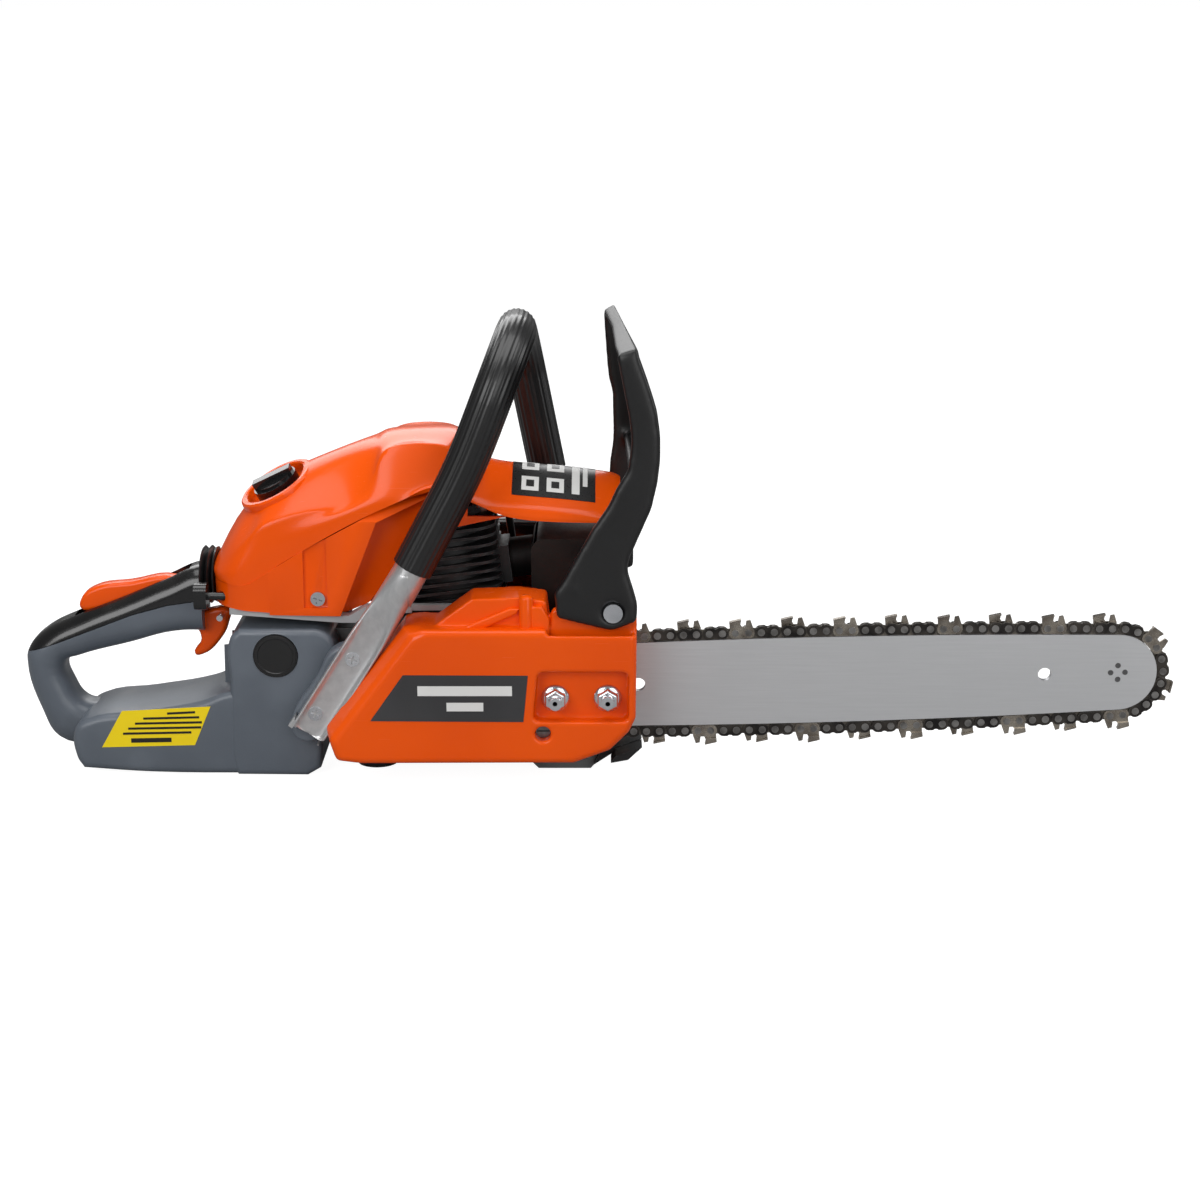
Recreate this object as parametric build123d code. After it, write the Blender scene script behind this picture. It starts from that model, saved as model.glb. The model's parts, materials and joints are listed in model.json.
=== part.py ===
from build123d import *
import math
import os

# Chainsaw, millimetres. +X points along the guide bar, -Y is the clutch side, +Z is up.
# Everything is modelled about the crank axis (X = 0) and the plane of the chain (Y = 0),
# and moved at the end so that the origin is the middle of the footprint.

# ------------------------------------------------------------------ driving dimensions
crank_z = 59.0            # crank axis above the ground
bar_tilt = 1.5            # nose-up angle of the bar, degrees
clear = 0.3               # gap between curved faces of different pieces
slip = 0.05               # radial gap of a running fit

chain_pitch = 8.255       # spacing of the rivets (.325 inch chain)
drive_link_count = 60
link_thick = 1.3
link_gap = 0.1            # between a drive link and a side link
link_half_height = 4.0    # round end of a link about its rivet
rivet_height = 3.6        # rivet centre above the foot of a side link
rivet_radius = 1.6
rivet_slip = 0.1          # radial gap of a rivet in its link
tang_depth = 5.2          # tang of a drive link below the rail
rail_gap = 0.45           # side links above the rail

bar_thick = 4.5
bar_half_height = 28.4
bar_reach = 421.0         # crank axis to the nose centre
bar_tail = 40.0           # rear end of the bar
rail_radius = 6000.0      # long belly arc of the rail
shoulder_radius = 250.0   # arc behind the belly
shoulder_x = 108.0
groove_width = 1.6
groove_depth = 7.0
sprocket_teeth = 7
nose_teeth = 11
tip_hole_x = 374.3
tip_hole_radius = 4.2

stud_first = 62.1         # rear bar stud from the crank axis
stud_spacing = 32.6
stud_radius = 4.0         # M8
nut_flange_radius = 9.0
nut_across_flats = 13.0

cylinder_y = 48.0         # middle plane of the cylinder
cylinder_lean = 7.0       # degrees backwards
bore_radius = 22.6
stroke = 34.0
rod_length = 62.0
chamber_radius = 36.0
web_radius = 33.0
shaft_radius = 7.5
bearing_radius = 17.5
bearing_width = 11.0
deck_height = 44.0        # cylinder seat from the crank axis
fin_count = 10
fin_pitch = 5.6
fin_thick = 1.7
head_height = 112.0       # top of the cylinder from the crank axis

drum_radius = 34.0
drum_wall = 1.6
drum_y0 = -28.0
drum_y1 = -6.0

cover_face = -38.0        # outer face of the clutch cover
cover_back = 8.0          # joint of the clutch cover and the crankcase
cover_wall = 3.0
pocket_floor = -28.0
engine_right = 14.0       # right wall of the crankcase
engine_left = 84.0        # left wall of the crankcase
pad_face = bar_thick / 2  # crankcase pad that the bar lies on
guard_pivot_x = 98.1
guard_pivot_z = 118.7
guard_pin_radius = 6.0
guard_y0 = -37.0
guard_thick = 8.0
guard_left = 112.0
guard_swing = 12.0        # forward travel of the guard, degrees

tank_right = -2.0
tank_left = 88.0
tank_rear_left = 66.0     # the tank is narrower behind the carburettor
filler_x = -122.0
filler_z = 30.0
tank_wall = 3.0
grip_mid = 45.0           # middle plane of the rear grip
grip_width = 35.0
hood_right = 0.0
hood_left = 96.0
hood_wall = 2.5

tube_radius = 11.0
tube_wall = 1.75
front_grip_radius = 13.0
handle_right = -20.0      # right leg of the front handle
handle_left = 152.0       # left leg of the front handle

flywheel_radius = 42.0
housing_left = 138.0
pulley_radius = 26.0
starter_travel = 60.0
rope_radius = 1.75

trigger_pivot = (-157.0, 97.0)
trigger_swing = 16.0
throttle_ratio = 3.9      # turn of the throttle shaft for each degree of the trigger
lockout_pivot = (-186.0, 114.0)
lockout_swing = 6.0
lever_pin_radius = 2.0
av_x = -117.0
av_z = 81.0
av_radius = 14.0
knob_x = -118.0
knob_z = 184.0
knob_y = 40.0
knob_lean = 27.0          # the knob's axis leans back from upright
knob_roll = 14.0          # and towards the clutch side
choke_y = 11.0
choke_radius = 2.5
choke_z = 117.0
choke_travel = 12.0
switch_travel = 5.0

# ------------------------------------------------------------------ small helpers


def face_of(points, radius=0.0):
    """Closed face from its corner points, with its corners rounded."""
    if radius:
        line = FilletPolyline(*points, radius=radius, close=True)
    else:
        line = Polyline(*points, close=True)
    return make_face(line.edges())


def slab(sketch, y0, y1):
    """A sketch drawn in X and Z, extruded from y0 to y1."""
    plane = Plane(origin=(0, y1, 0), x_dir=(1, 0, 0), z_dir=(0, -1, 0))
    return extrude(plane * sketch, amount=y1 - y0)


def prism(points, y0, y1, radius=0.0):
    """An outline in X and Z, extruded from y0 to y1."""
    return slab(face_of(points, radius), y0, y1)


def section(sketch, x0, x1):
    """A sketch drawn in Y and Z, extruded from x0 to x1."""
    plane = Plane(origin=(x0, 0, 0), x_dir=(0, 1, 0), z_dir=(1, 0, 0))
    return extrude(plane * sketch, amount=x1 - x0)


def block(x0, x1, y0, y1, z0, z1):
    """A box between six planes."""
    return Pos((x0 + x1) / 2, (y0 + y1) / 2, (z0 + z1) / 2) * Box(x1 - x0, y1 - y0, z1 - z0)


def rod_y(x, z, radius, y0, y1):
    """A round bar along Y."""
    return Pos(x, (y0 + y1) / 2, z) * Rot(90, 0, 0) * Cylinder(radius, y1 - y0)


def rod_x(y, z, radius, x0, x1):
    """A round bar along X."""
    return Pos((x0 + x1) / 2, y, z) * Rot(0, 90, 0) * Cylinder(radius, x1 - x0)


def tube_y(x, z, outer, inner, y0, y1):
    """A round tube along Y."""
    return rod_y(x, z, outer, y0, y1) - rod_y(x, z, inner, y0 - 1, y1 + 1)


def group(shapes):
    """Separate solids that share one node."""
    solids = []
    for shape in shapes:
        solids.extend(shape.solids())
    return Compound(solids)


def hex_prism_y(x, z, across_flats, y0, y1):
    """A hexagon bar along Y."""
    sketch = RegularPolygon(across_flats / 2, 6, major_radius=False)
    return slab(Pos(x, z) * sketch, y0, y1)


# ------------------------------------------------------------------ chain path

bar_frame = Pos(0, 0, crank_z) * Rot(0, -bar_tilt, 0)
rail_drop = rivet_height + rail_gap
sprocket_pitch_radius = sprocket_teeth * chain_pitch / math.pi
nose_pitch_radius = nose_teeth * chain_pitch / math.pi
path_height = bar_half_height + rail_drop


def path_frame():
    """Centres and joints of the upper half of the chain's path, from the crank axis."""
    belly_gap = (rail_radius - nose_pitch_radius) ** 2 - (rail_radius - path_height) ** 2
    belly_x = bar_reach - math.sqrt(belly_gap)
    belly = (belly_x, path_height - rail_radius)
    nose_angle = math.atan2(rail_radius - path_height, bar_reach - belly_x)
    lean = math.asin((shoulder_x - belly_x) / rail_radius)
    shoulder_angle = math.pi / 2 - lean
    shoulder = (
        belly[0] + (rail_radius - shoulder_radius) * math.cos(shoulder_angle),
        belly[1] + (rail_radius - shoulder_radius) * math.sin(shoulder_angle),
    )
    reach = math.hypot(*shoulder)
    swing = math.acos((sprocket_pitch_radius - shoulder_radius) / reach)
    tail_angle = math.atan2(shoulder[1], shoulder[0]) + swing
    return belly, shoulder, nose_angle, shoulder_angle, tail_angle


belly, shoulder, nose_angle, shoulder_angle, tail_angle = path_frame()


def on_circle(centre, radius, angle):
    """Point on a circle at an angle in radians."""
    return (centre[0] + radius * math.cos(angle), centre[1] + radius * math.sin(angle))


tail_start = on_circle((0, 0), sprocket_pitch_radius, tail_angle)
tail_end = on_circle(shoulder, shoulder_radius, tail_angle)
tail_length = math.dist(tail_start, tail_end)
path_pieces = [
    ((0, 0), sprocket_pitch_radius, math.pi, tail_angle),
    None,
    (shoulder, shoulder_radius, tail_angle, shoulder_angle),
    (belly, rail_radius, shoulder_angle, nose_angle),
    ((bar_reach, 0), nose_pitch_radius, nose_angle, 0.0),
]


def piece_length(piece):
    """Length of one piece of the path; the straight run has no circle."""
    return piece[1] * (piece[2] - piece[3]) if piece else tail_length


half_path = sum(piece_length(piece) for piece in path_pieces)
path_length = 2 * half_path
rivet_step = path_length / (2 * drive_link_count)


def path_point(distance):
    """Point on the chain's path, measured from behind the sprocket over the top run."""
    distance = distance % path_length
    lower = distance > half_path
    left = path_length - distance if lower else distance
    for piece in path_pieces:
        if left <= piece_length(piece) + 1e-9:
            break
        left -= piece_length(piece)
    if piece:
        x, z = on_circle(piece[0], piece[1], piece[2] - left / piece[1])
    else:
        share = left / tail_length
        x = tail_start[0] + share * (tail_end[0] - tail_start[0])
        z = tail_start[1] + share * (tail_end[1] - tail_start[1])
    return (x, -z) if lower else (x, z)


def link_places(first):
    """Places of the links that start at every second rivet, in the frame of the bar."""
    places = []
    for index in range(drive_link_count):
        start = path_point((2 * index + first) * rivet_step)
        end = path_point((2 * index + first + 1) * rivet_step)
        angle = math.degrees(math.atan2(end[1] - start[1], end[0] - start[0]))
        middle = Pos((start[0] + end[0]) / 2, 0, (start[1] + end[1]) / 2)
        places.append(bar_frame * middle * Rot(0, -angle, 0))
    return places


def rail_face(inset):
    """Face of the bar whose edge lies inset inside the chain's path."""
    tail_line = on_circle((0, 0), sprocket_pitch_radius - inset, tail_angle)
    slope = tail_angle - math.pi / 2
    tail_height = tail_line[1] + (bar_tail - tail_line[0]) * math.tan(slope)
    tail_top = on_circle(shoulder, shoulder_radius - inset, tail_angle)
    shoulder_mid = on_circle(shoulder, shoulder_radius - inset, (tail_angle + shoulder_angle) / 2)
    shoulder_top = on_circle(shoulder, shoulder_radius - inset, shoulder_angle)
    belly_mid = on_circle(belly, rail_radius - inset, (shoulder_angle + nose_angle) / 2)
    nose_top = on_circle((bar_reach, 0), nose_pitch_radius - inset, nose_angle)
    nose_tip = (bar_reach + nose_pitch_radius - inset, 0)

    def flip(point):
        return (point[0], -point[1])

    edges = [
        Line((bar_tail, -tail_height), (bar_tail, tail_height)),
        Line((bar_tail, tail_height), tail_top),
        ThreePointArc(tail_top, shoulder_mid, shoulder_top),
        ThreePointArc(shoulder_top, belly_mid, nose_top),
        ThreePointArc(nose_top, nose_tip, flip(nose_top)),
        ThreePointArc(flip(nose_top), flip(belly_mid), flip(shoulder_top)),
        ThreePointArc(flip(shoulder_top), flip(shoulder_mid), flip(tail_top)),
        Line(flip(tail_top), (bar_tail, -tail_height)),
    ]
    return make_face(edges)


# ------------------------------------------------------------------ chain

side_y = link_thick / 2 + link_gap
side_outer = side_y + link_thick


def link_sketch():
    """Side link: two round ends, a flat foot, a waist and two rivet holes."""
    body = SlotCenterToCenter(chain_pitch, 2 * link_half_height)
    body -= Pos(0, -rivet_height - 2) * Rectangle(4 * chain_pitch, 4)
    body -= Pos(0, link_half_height + 1.6) * Circle(2.4)
    return body - rivet_holes()


def rivet_holes():
    """Holes for the two rivets of a link."""
    hole = Circle(rivet_radius + rivet_slip)
    return Pos(-chain_pitch / 2, 0) * hole + Pos(chain_pitch / 2, 0) * hole


def tie_strap(side):
    """Plain side link on one side (-1 right, 1 left)."""
    y0, y1 = sorted((side * side_y, side * side_outer))
    return slab(link_sketch(), y0, y1)


def drive_link():
    """Middle link with its tang."""
    tip = -rail_drop - tang_depth
    tang = face_of([(-4.4, -2.0), (4.4, -2.0), (3.2, tip + 4.2), (0.9, tip), (-1.7, tip), (-3.6, tip + 4.0)])
    body = SlotCenterToCenter(chain_pitch, 2 * link_half_height)
    body -= Pos(0, -rivet_height - 2) * Rectangle(4 * chain_pitch, 4)
    body -= Pos(0, link_half_height + 1.0) * Circle(2.4)
    return slab(body + tang - rivet_holes(), -link_thick / 2, link_thick / 2)


def cutter(side):
    """Cutting link: side plate, depth gauge and a top plate bent over the chain."""
    gauge = face_of([(2.2, 2.5), (3.0, 8.0), (5.6, 8.5), (7.4, 3.0)])
    tooth = face_of([(-7.6, 2.5), (-7.9, 7.6), (-0.3, 9.2), (-0.9, 5.6), (1.0, 2.8)])
    top = face_of([(-7.9, 6.4), (-7.9, 7.6), (-0.3, 9.2), (-0.3, 8.0)])
    holes = rivet_holes()
    plate = slab(SlotCenterToCenter(chain_pitch, 2 * link_half_height) + gauge + tooth - holes, side_y, side_outer)
    plate -= block(-20, 20, -9, 9, -rivet_height - 5, -rivet_height)
    flare = slab(tooth & Pos(0, 10) * Rectangle(40, 10.4), side_outer, side_outer + 1.3)
    shape = plate + flare + slab(top, -0.3, side_outer + 1.3)
    return shape if side > 0 else mirror(shape, about=Plane.XZ)


def rivet():
    """Rivet with a low head on each side."""
    shape = Rot(90, 0, 0) * Cylinder(rivet_radius, 2 * side_outer + 0.2)
    for side in (-1, 1):
        head = Pos(0, side * (side_outer + 0.25), 0) * Rot(90, 0, 0) * Cylinder(rivet_radius + 0.7, 0.4)
        shape += head
    return shape


def chain():
    """All the links of the chain, by kind."""
    drive_places = link_places(0)
    side_places = link_places(1)
    straps, right_cutters, left_cutters, rivets = [], [], [], []
    right_strap, left_strap = tie_strap(-1), tie_strap(1)
    right_cutter, left_cutter = cutter(-1), cutter(1)
    pin = rivet()
    for index, place in enumerate(side_places):
        if index % 4 == 0:
            right_cutters.append(place * right_cutter)
        else:
            straps.append(place * right_strap)
        if index % 4 == 2:
            left_cutters.append(place * left_cutter)
        else:
            straps.append(place * left_strap)
        for end in (-1, 1):
            rivets.append(place * Pos(end * chain_pitch / 2, 0, 0) * pin)
    links = [place * drive_link() for place in drive_places]
    return group(links), group(straps), group(right_cutters), group(left_cutters), group(rivets)


# ------------------------------------------------------------------ bar

race_radius = 7.5


def on_bar(u, v=0.0):
    """X and Z of a point given along and across the bar."""
    angle = math.radians(bar_tilt)
    return (u * math.cos(angle) - v * math.sin(angle), crank_z + u * math.sin(angle) + v * math.cos(angle))


stud_places = [on_bar(stud_first), on_bar(stud_first + stud_spacing)]


def guide_bar():
    """Laminated bar with its rail groove, stud slot and holes."""
    half = bar_thick / 2
    shape = slab(rail_face(rail_drop), -half, half)
    groove = slab(rail_face(rail_drop - 3), -groove_width / 2, groove_width / 2)
    groove -= slab(rail_face(rail_drop + groove_depth), -half, half)
    pocket = rod_y(bar_reach, 0, nose_pitch_radius, -groove_width / 2, groove_width / 2)
    shape -= groove
    shape -= pocket
    slot = Pos((stud_first - 8 + 119) / 2, 0) * SlotOverall(119 - stud_first + 8, 2 * stud_radius + 0.6)
    shape -= slab(slot, -half - 1, half + 1)
    shape -= rod_y(tip_hole_x, 0, tip_hole_radius, -half - 1, half + 1)
    for side in (-1, 1):
        shape -= rod_y(tensioner_u, side * tensioner_v, 3.2, -half - 1, half + 1)
    for x, z in nose_rivet_places:
        shape -= rod_y(x, z, 1.8 + slip, -half - 1, half + 1)
    return bar_frame * shape


tensioner_u = 54.0
tensioner_v = 14.0
nose_rivet_places = [(bar_reach - 4.6, 0), (bar_reach + 4.6, 0), (bar_reach, 4.6), (bar_reach, -4.6)]


def nose_sprocket():
    """Star wheel in the nose of the bar; its teeth stand between the tangs."""
    root = nose_pitch_radius - rail_drop - tang_depth - 1.4
    tip = nose_pitch_radius - rail_drop - 1.2
    star = Circle(root)
    for index in range(nose_teeth):
        tooth = face_of([(root - 2, -2.6), (root, -2.6), (tip, -1.0), (tip, 1.0), (root, 2.6), (root - 2, 2.6)])
        star += Rot(0, 0, nose_phase + index * 360 / nose_teeth) * tooth
    star -= Circle(race_radius + slip)
    shape = slab(star, -groove_width / 2 + 0.2, groove_width / 2 - 0.2)
    return bar_frame * Pos(bar_reach, 0, 0) * shape


def nose_rivets():
    """Inner race of the nose sprocket and the four rivets that hold it."""
    race = rod_y(bar_reach, 0, race_radius, -groove_width / 2 + 0.05, groove_width / 2 - 0.05)
    rivets = []
    for x, z in nose_rivet_places:
        race -= rod_y(x, z, 1.8 + slip, -2, 2)
        rivets.append(rod_y(x, z, 1.8, -bar_thick / 2 - 0.1, bar_thick / 2 + 0.1))
    return bar_frame * group([race] + rivets)


def tang_phase(centre_x):
    """Angle of a tang seen from a wheel's centre, on the wheel's side of the path."""
    middles = []
    for index in range(drive_link_count):
        x, z = path_point((2 * index + 0.5) * rivet_step)
        middles.append((x, z))
    side = [p for p in middles if (p[0] > centre_x) == (centre_x > 0)]
    x, z = min(side, key=lambda point: abs(point[1]))
    return math.degrees(math.atan2(z, x - centre_x))


nose_phase = tang_phase(bar_reach) + 180 / nose_teeth
rim_phase = tang_phase(0)

# ------------------------------------------------------------------ clutch and crank

hub_radius = 8.6
rim_radius = 14.0


def clutch_drum():
    """Drum that opens outwards, with the splined hub of the rim sprocket."""
    shell = rod_y(0, 0, drum_radius, drum_y0, drum_y1)
    shell -= rod_y(0, 0, drum_radius - drum_wall, drum_y0 - 1, drum_y1 - 2)
    hub = rod_y(0, 0, hub_radius, drum_y1 - 2, 5)
    shape = shell + hub - rod_y(0, 0, 6 + slip, drum_y0, 6)
    for index in range(6):
        shape -= Rot(0, 60 * index + 30, 0) * Pos(22, 0, 0) * rod_y(0, 0, 4, drum_y1 - 3, drum_y1 + 1)
    return Pos(0, 0, crank_z) * shape


def rim_sprocket():
    """Rim with seven windows for the tangs of the drive links."""
    rim = Circle(rim_radius) - Circle(hub_radius + slip)
    shape = slab(rim, -4.6, 4.6)
    for index in range(sprocket_teeth):
        window = block(hub_radius - 2, rim_radius + 1, -1.0, 1.0, -4.6, 4.6)
        turn = rim_phase + index * 360 / sprocket_teeth + bar_tilt
        shape -= Rot(0, -turn, 0) * window
    return Pos(0, 0, crank_z) * shape


def clutch_hub():
    """Three-armed spider, screwed to the end of the crankshaft."""
    sketch = Circle(12)
    for index in range(3):
        sketch += Rot(0, 0, 120 * index + 90) * (Pos(14, 0) * Rectangle(14, 9))
    sketch -= Circle(6 + slip)
    return Pos(0, 0, crank_z) * slab(sketch, -25, -11)


def clutch_shoes():
    """Three shoes on the arms of the spider and the ring spring that draws them in."""
    ring = Circle(drum_radius - drum_wall - 1.2) - Circle(22)
    shapes = []
    for index in range(3):
        turn = 120 * index + 90
        wedge = face_of([(12.8, -9), (40, -38), (40, 38), (12.8, 9)])
        shoe = (ring + Pos(19, 0) * Rectangle(8, 16)) & wedge
        shoe -= Pos(16, 0) * Rectangle(14, 9 + 2 * clear)
        shoe -= Circle(12 + clear)
        shapes.append(slab(Rot(0, 0, turn) * shoe, -24, -13))
    spring = tube_y(0, 0, 29.5, 27.0, -26.5, -24.3)
    return Pos(0, 0, crank_z) * group(shapes + [spring])


def crankshaft():
    """Two halves of the crankshaft; the crank pin between the webs is a piece of its own."""
    right = rod_y(0, 0, 6, -32, 12) + rod_y(0, 0, shaft_radius, 12, 33)
    right += rod_y(0, 0, web_radius, 32, 41)
    right -= rod_y(-24, 0, 6, 31, 42) + rod_y(24, 0, 6, 31, 42)
    left = rod_y(0, 0, web_radius, 55, 64) + rod_y(0, 0, shaft_radius, 63, 84)
    left += rod_y(0, 0, 6, 84, 116.5)
    left -= rod_y(-24, 0, 6, 54, 65) + rod_y(24, 0, 6, 54, 65)
    return Pos(0, 0, crank_z) * Rot(0, -cylinder_lean, 0) * group([right, left])


def main_bearings():
    """Ball bearings of the crankshaft, drawn as plain rings."""
    rings = []
    for y0 in (20.0, 65.0):
        rings.append(tube_y(0, crank_z, bearing_radius, shaft_radius + slip, y0, y0 + bearing_width))
    return group(rings)


def flywheel():
    """Finned flywheel on the left end of the crankshaft, with its nut."""
    disc = rod_y(0, 0, flywheel_radius - 10, 88, 92) + rod_y(0, 0, 12, 88, 108)
    disc += tube_y(0, 0, flywheel_radius, flywheel_radius - 12, 88, 96)
    for index in range(12):
        blade = block(16, flywheel_radius - 1, 91, 104, -1.2, 1.2)
        disc += Rot(0, 30 * index, 0) * blade
    disc -= rod_y(0, 0, 6 + slip, 80, 120)
    nut = hex_prism_y(0, 0, 17, 108.2, 115) - rod_y(0, 0, 6 + slip, 107, 116)
    return Pos(0, 0, crank_z) * group([disc, nut])


# ------------------------------------------------------------------ cylinder and piston

cylinder_frame = Pos(0, cylinder_y, crank_z) * Rot(0, -cylinder_lean, 0)
plug_tilt = 75.0          # the plug leans forward from the cylinder's axis
plug_seat = (20.0, 106.5)  # plug seat in the cylinder's frame
plug_frame = cylinder_frame * Pos(plug_seat[0], 0, plug_seat[1]) * Rot(0, plug_tilt, 0)


def round_bar(radius, z0, z1):
    """A round bar along the local Z axis."""
    return Pos(0, 0, (z0 + z1) / 2) * Cylinder(radius, z1 - z0)


def cylinder():
    """Finned barrel and head, with the ports for the intake and the exhaust."""
    shape = round_bar(bore_radius + 4, 30, deck_height) + round_bar(29, deck_height, head_height - 4)
    shape += Pos(0, 0, deck_height + 2.5) * Box(62, 60, 5)
    for index in range(fin_count):
        z = deck_height + 9 + index * fin_pitch
        fin = RectangleRounded(70, 66, 12)
        shape += Pos(0, 0, z) * extrude(fin, amount=fin_thick)
    shape += Pos(0, 0, head_height - 4) * extrude(RectangleRounded(48, 52, 10), amount=4)
    shape += Pos(-34, 0, 68) * Box(16, 34, 24) + Pos(34, 0, 70) * Box(14, 34, 24)
    shape -= Pos(-34, 0, 68) * Rot(0, 90, 0) * Cylinder(11, 40)
    shape -= Pos(34, 0, 70) * Rot(0, 90, 0) * Cylinder(11, 40)
    shape = cylinder_frame * shape
    shape += plug_frame * round_bar(11, -8, 0)
    shape -= cylinder_frame * round_bar(bore_radius, 20, rod_length + stroke / 2 + 19)
    shape -= plug_frame * round_bar(12.5, 0, 60)
    shape -= plug_frame * round_bar(7 + slip, -11, 1)
    return shape


def piston():
    """Piston at its top position, with its two rings."""
    pin_z = rod_length + stroke / 2
    body = round_bar(bore_radius - 0.1, pin_z - 18, pin_z + 17)
    body -= round_bar(bore_radius - 4, pin_z - 19, pin_z + 11)
    body += Pos(0, 0, pin_z) * Rot(90, 0, 0) * (Cylinder(9, 40) - Cylinder(9 - 1, 14))
    body &= round_bar(bore_radius - 0.1, pin_z - 18, pin_z + 17)
    body -= Pos(0, 0, pin_z) * Rot(90, 0, 0) * Cylinder(5 + slip, 60)
    body -= Pos(0, 0, pin_z - 6) * Box(24, 14, 32)
    body -= Pos(0, 0, stroke) * Rot(90, 0, 0) * Cylinder(web_radius + 0.5, 60)
    rings = []
    for z in (pin_z + 13.5, pin_z + 10):
        body -= round_bar(bore_radius, z - 0.8, z + 0.8) - round_bar(bore_radius - 2.5, z - 1, z + 1)
        rings.append(round_bar(bore_radius - 0.05, z - 0.75, z + 0.75) - round_bar(bore_radius - 2.4, z - 1, z + 1))
    return cylinder_frame * group([body] + rings)


def connecting_rod():
    """Rod from the crank pin to the wrist pin."""
    top = rod_length + stroke / 2
    low = stroke / 2
    shape = Pos(0, 0, top) * Rot(90, 0, 0) * Cylinder(8, 12)
    shape += Pos(0, 0, low) * Rot(90, 0, 0) * Cylinder(11, 12)
    shape += Pos(0, 0, (top + low) / 2) * Box(9, 6, top - low)
    shape -= Pos(0, 0, top) * Rot(90, 0, 0) * Cylinder(5 + slip, 20)
    shape -= Pos(0, 0, low) * Rot(90, 0, 0) * Cylinder(7 + slip, 20)
    return cylinder_frame * shape


def piston_pins():
    """Wrist pin and crank pin."""
    wrist = Pos(0, 0, rod_length + stroke / 2) * Rot(90, 0, 0) * Cylinder(5, 38)
    crank = Pos(0, 0, stroke / 2) * Rot(90, 0, 0) * Cylinder(7, 14 - 2 * clear)
    return cylinder_frame * group([wrist, crank])


def spark_plug():
    """Spark plug: thread, hexagon and insulator."""
    shape = round_bar(7, -9.5, 0) + extrude(RegularPolygon(9.5, 6, major_radius=False), amount=9)
    shape += round_bar(6.5, 9, 14) + round_bar(4.8, 14, 30)
    return plug_frame * shape


def plug_boot():
    """Rubber cap over the insulator, with the socket of the lead on its left side."""
    shape = round_bar(9.5, 9.3, 38) + Pos(0, 10, 32) * Rot(90, 0, 0) * Cylinder(6, 16)
    shape -= round_bar(6.5 + clear, 9, 14.3) + round_bar(4.8 + clear, 13, 30.3)
    return plug_frame * shape


def lead_end():
    """Where the ignition lead meets its socket on the plug boot."""
    return (plug_frame * Pos(0, 18, 32)).position


coil_out = (30.0, 88.0, 116.0)
lead_gap = 2.0            # the tilted end of the lead stays off the coil


def ignition_lead():
    """High-tension lead from the coil to the plug boot."""
    end = lead_end()
    points = [(coil_out[0], coil_out[1] - lead_gap, coil_out[2]), (34.0, 80.0, 122.0), (end.X - 8, 74.0, end.Z - 14), (end.X, 70.0, end.Z), tuple(end)]
    path = FilletPolyline(*points, radius=4)
    start = Plane(origin=points[0], z_dir=Vector(*points[1]) - Vector(*points[0]))
    return sweep(start * Circle(2.5), path=path)


def ignition_coil():
    """Coil block with two legs that face the rim of the flywheel."""
    body = block(-14, 14, 89, 101, crank_z + 50, crank_z + 66)
    body += block(-24, 24, 91, 96, crank_z + 52, crank_z + 58)
    for x in (-24.0, 17.0):
        body += block(x, x + 7, 91, 96, crank_z + 44, crank_z + 58)
    body += block(12, coil_out[0] - 2, 90, 98, coil_out[2] - 4, coil_out[2] + 4)
    body += block(coil_out[0] - 6, coil_out[0] + 4, coil_out[1], 98, coil_out[2] - 4, coil_out[2] + 4)
    body -= rod_y(0, crank_z, flywheel_radius + 0.4, 80, 120)
    return body


def muffler():
    """Muffler box on the front of the cylinder, with its outlet."""
    box_x0 = 46.0
    shape = block(box_x0, 98, 20, 82, 100, 152)
    shape = fillet(shape.edges().filter_by(Axis.Y), 8)
    shell = shape - block(box_x0 + 1.5, 96.5, 21.5, 80.5, 101.5, 150.5)
    neck_end = cylinder_frame * Pos(41, 0, 70)
    neck = neck_end * Pos(9 + clear, 0, 0) * Rot(0, 90, 0) * Cylinder(13, 18)
    outlet = rod_x(62, 118, 7, 97, 103)
    shape = shell + (neck - block(box_x0, 98, 0, 100, 90, 170)) + outlet
    return shape - rod_x(62, 118, 5, 90, 104)


# ------------------------------------------------------------------ crankcase

pad_outline = [(47, 46.5), (104, 46.5), (104, 77), (47, 77)]
engine_outline = [
    (-62, 16), (-52, 8), (44, 6), (50, 0), (84, 0), (98, 16), (106, 34), (106, 92), (98, 97), (-62, 97),
]


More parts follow.
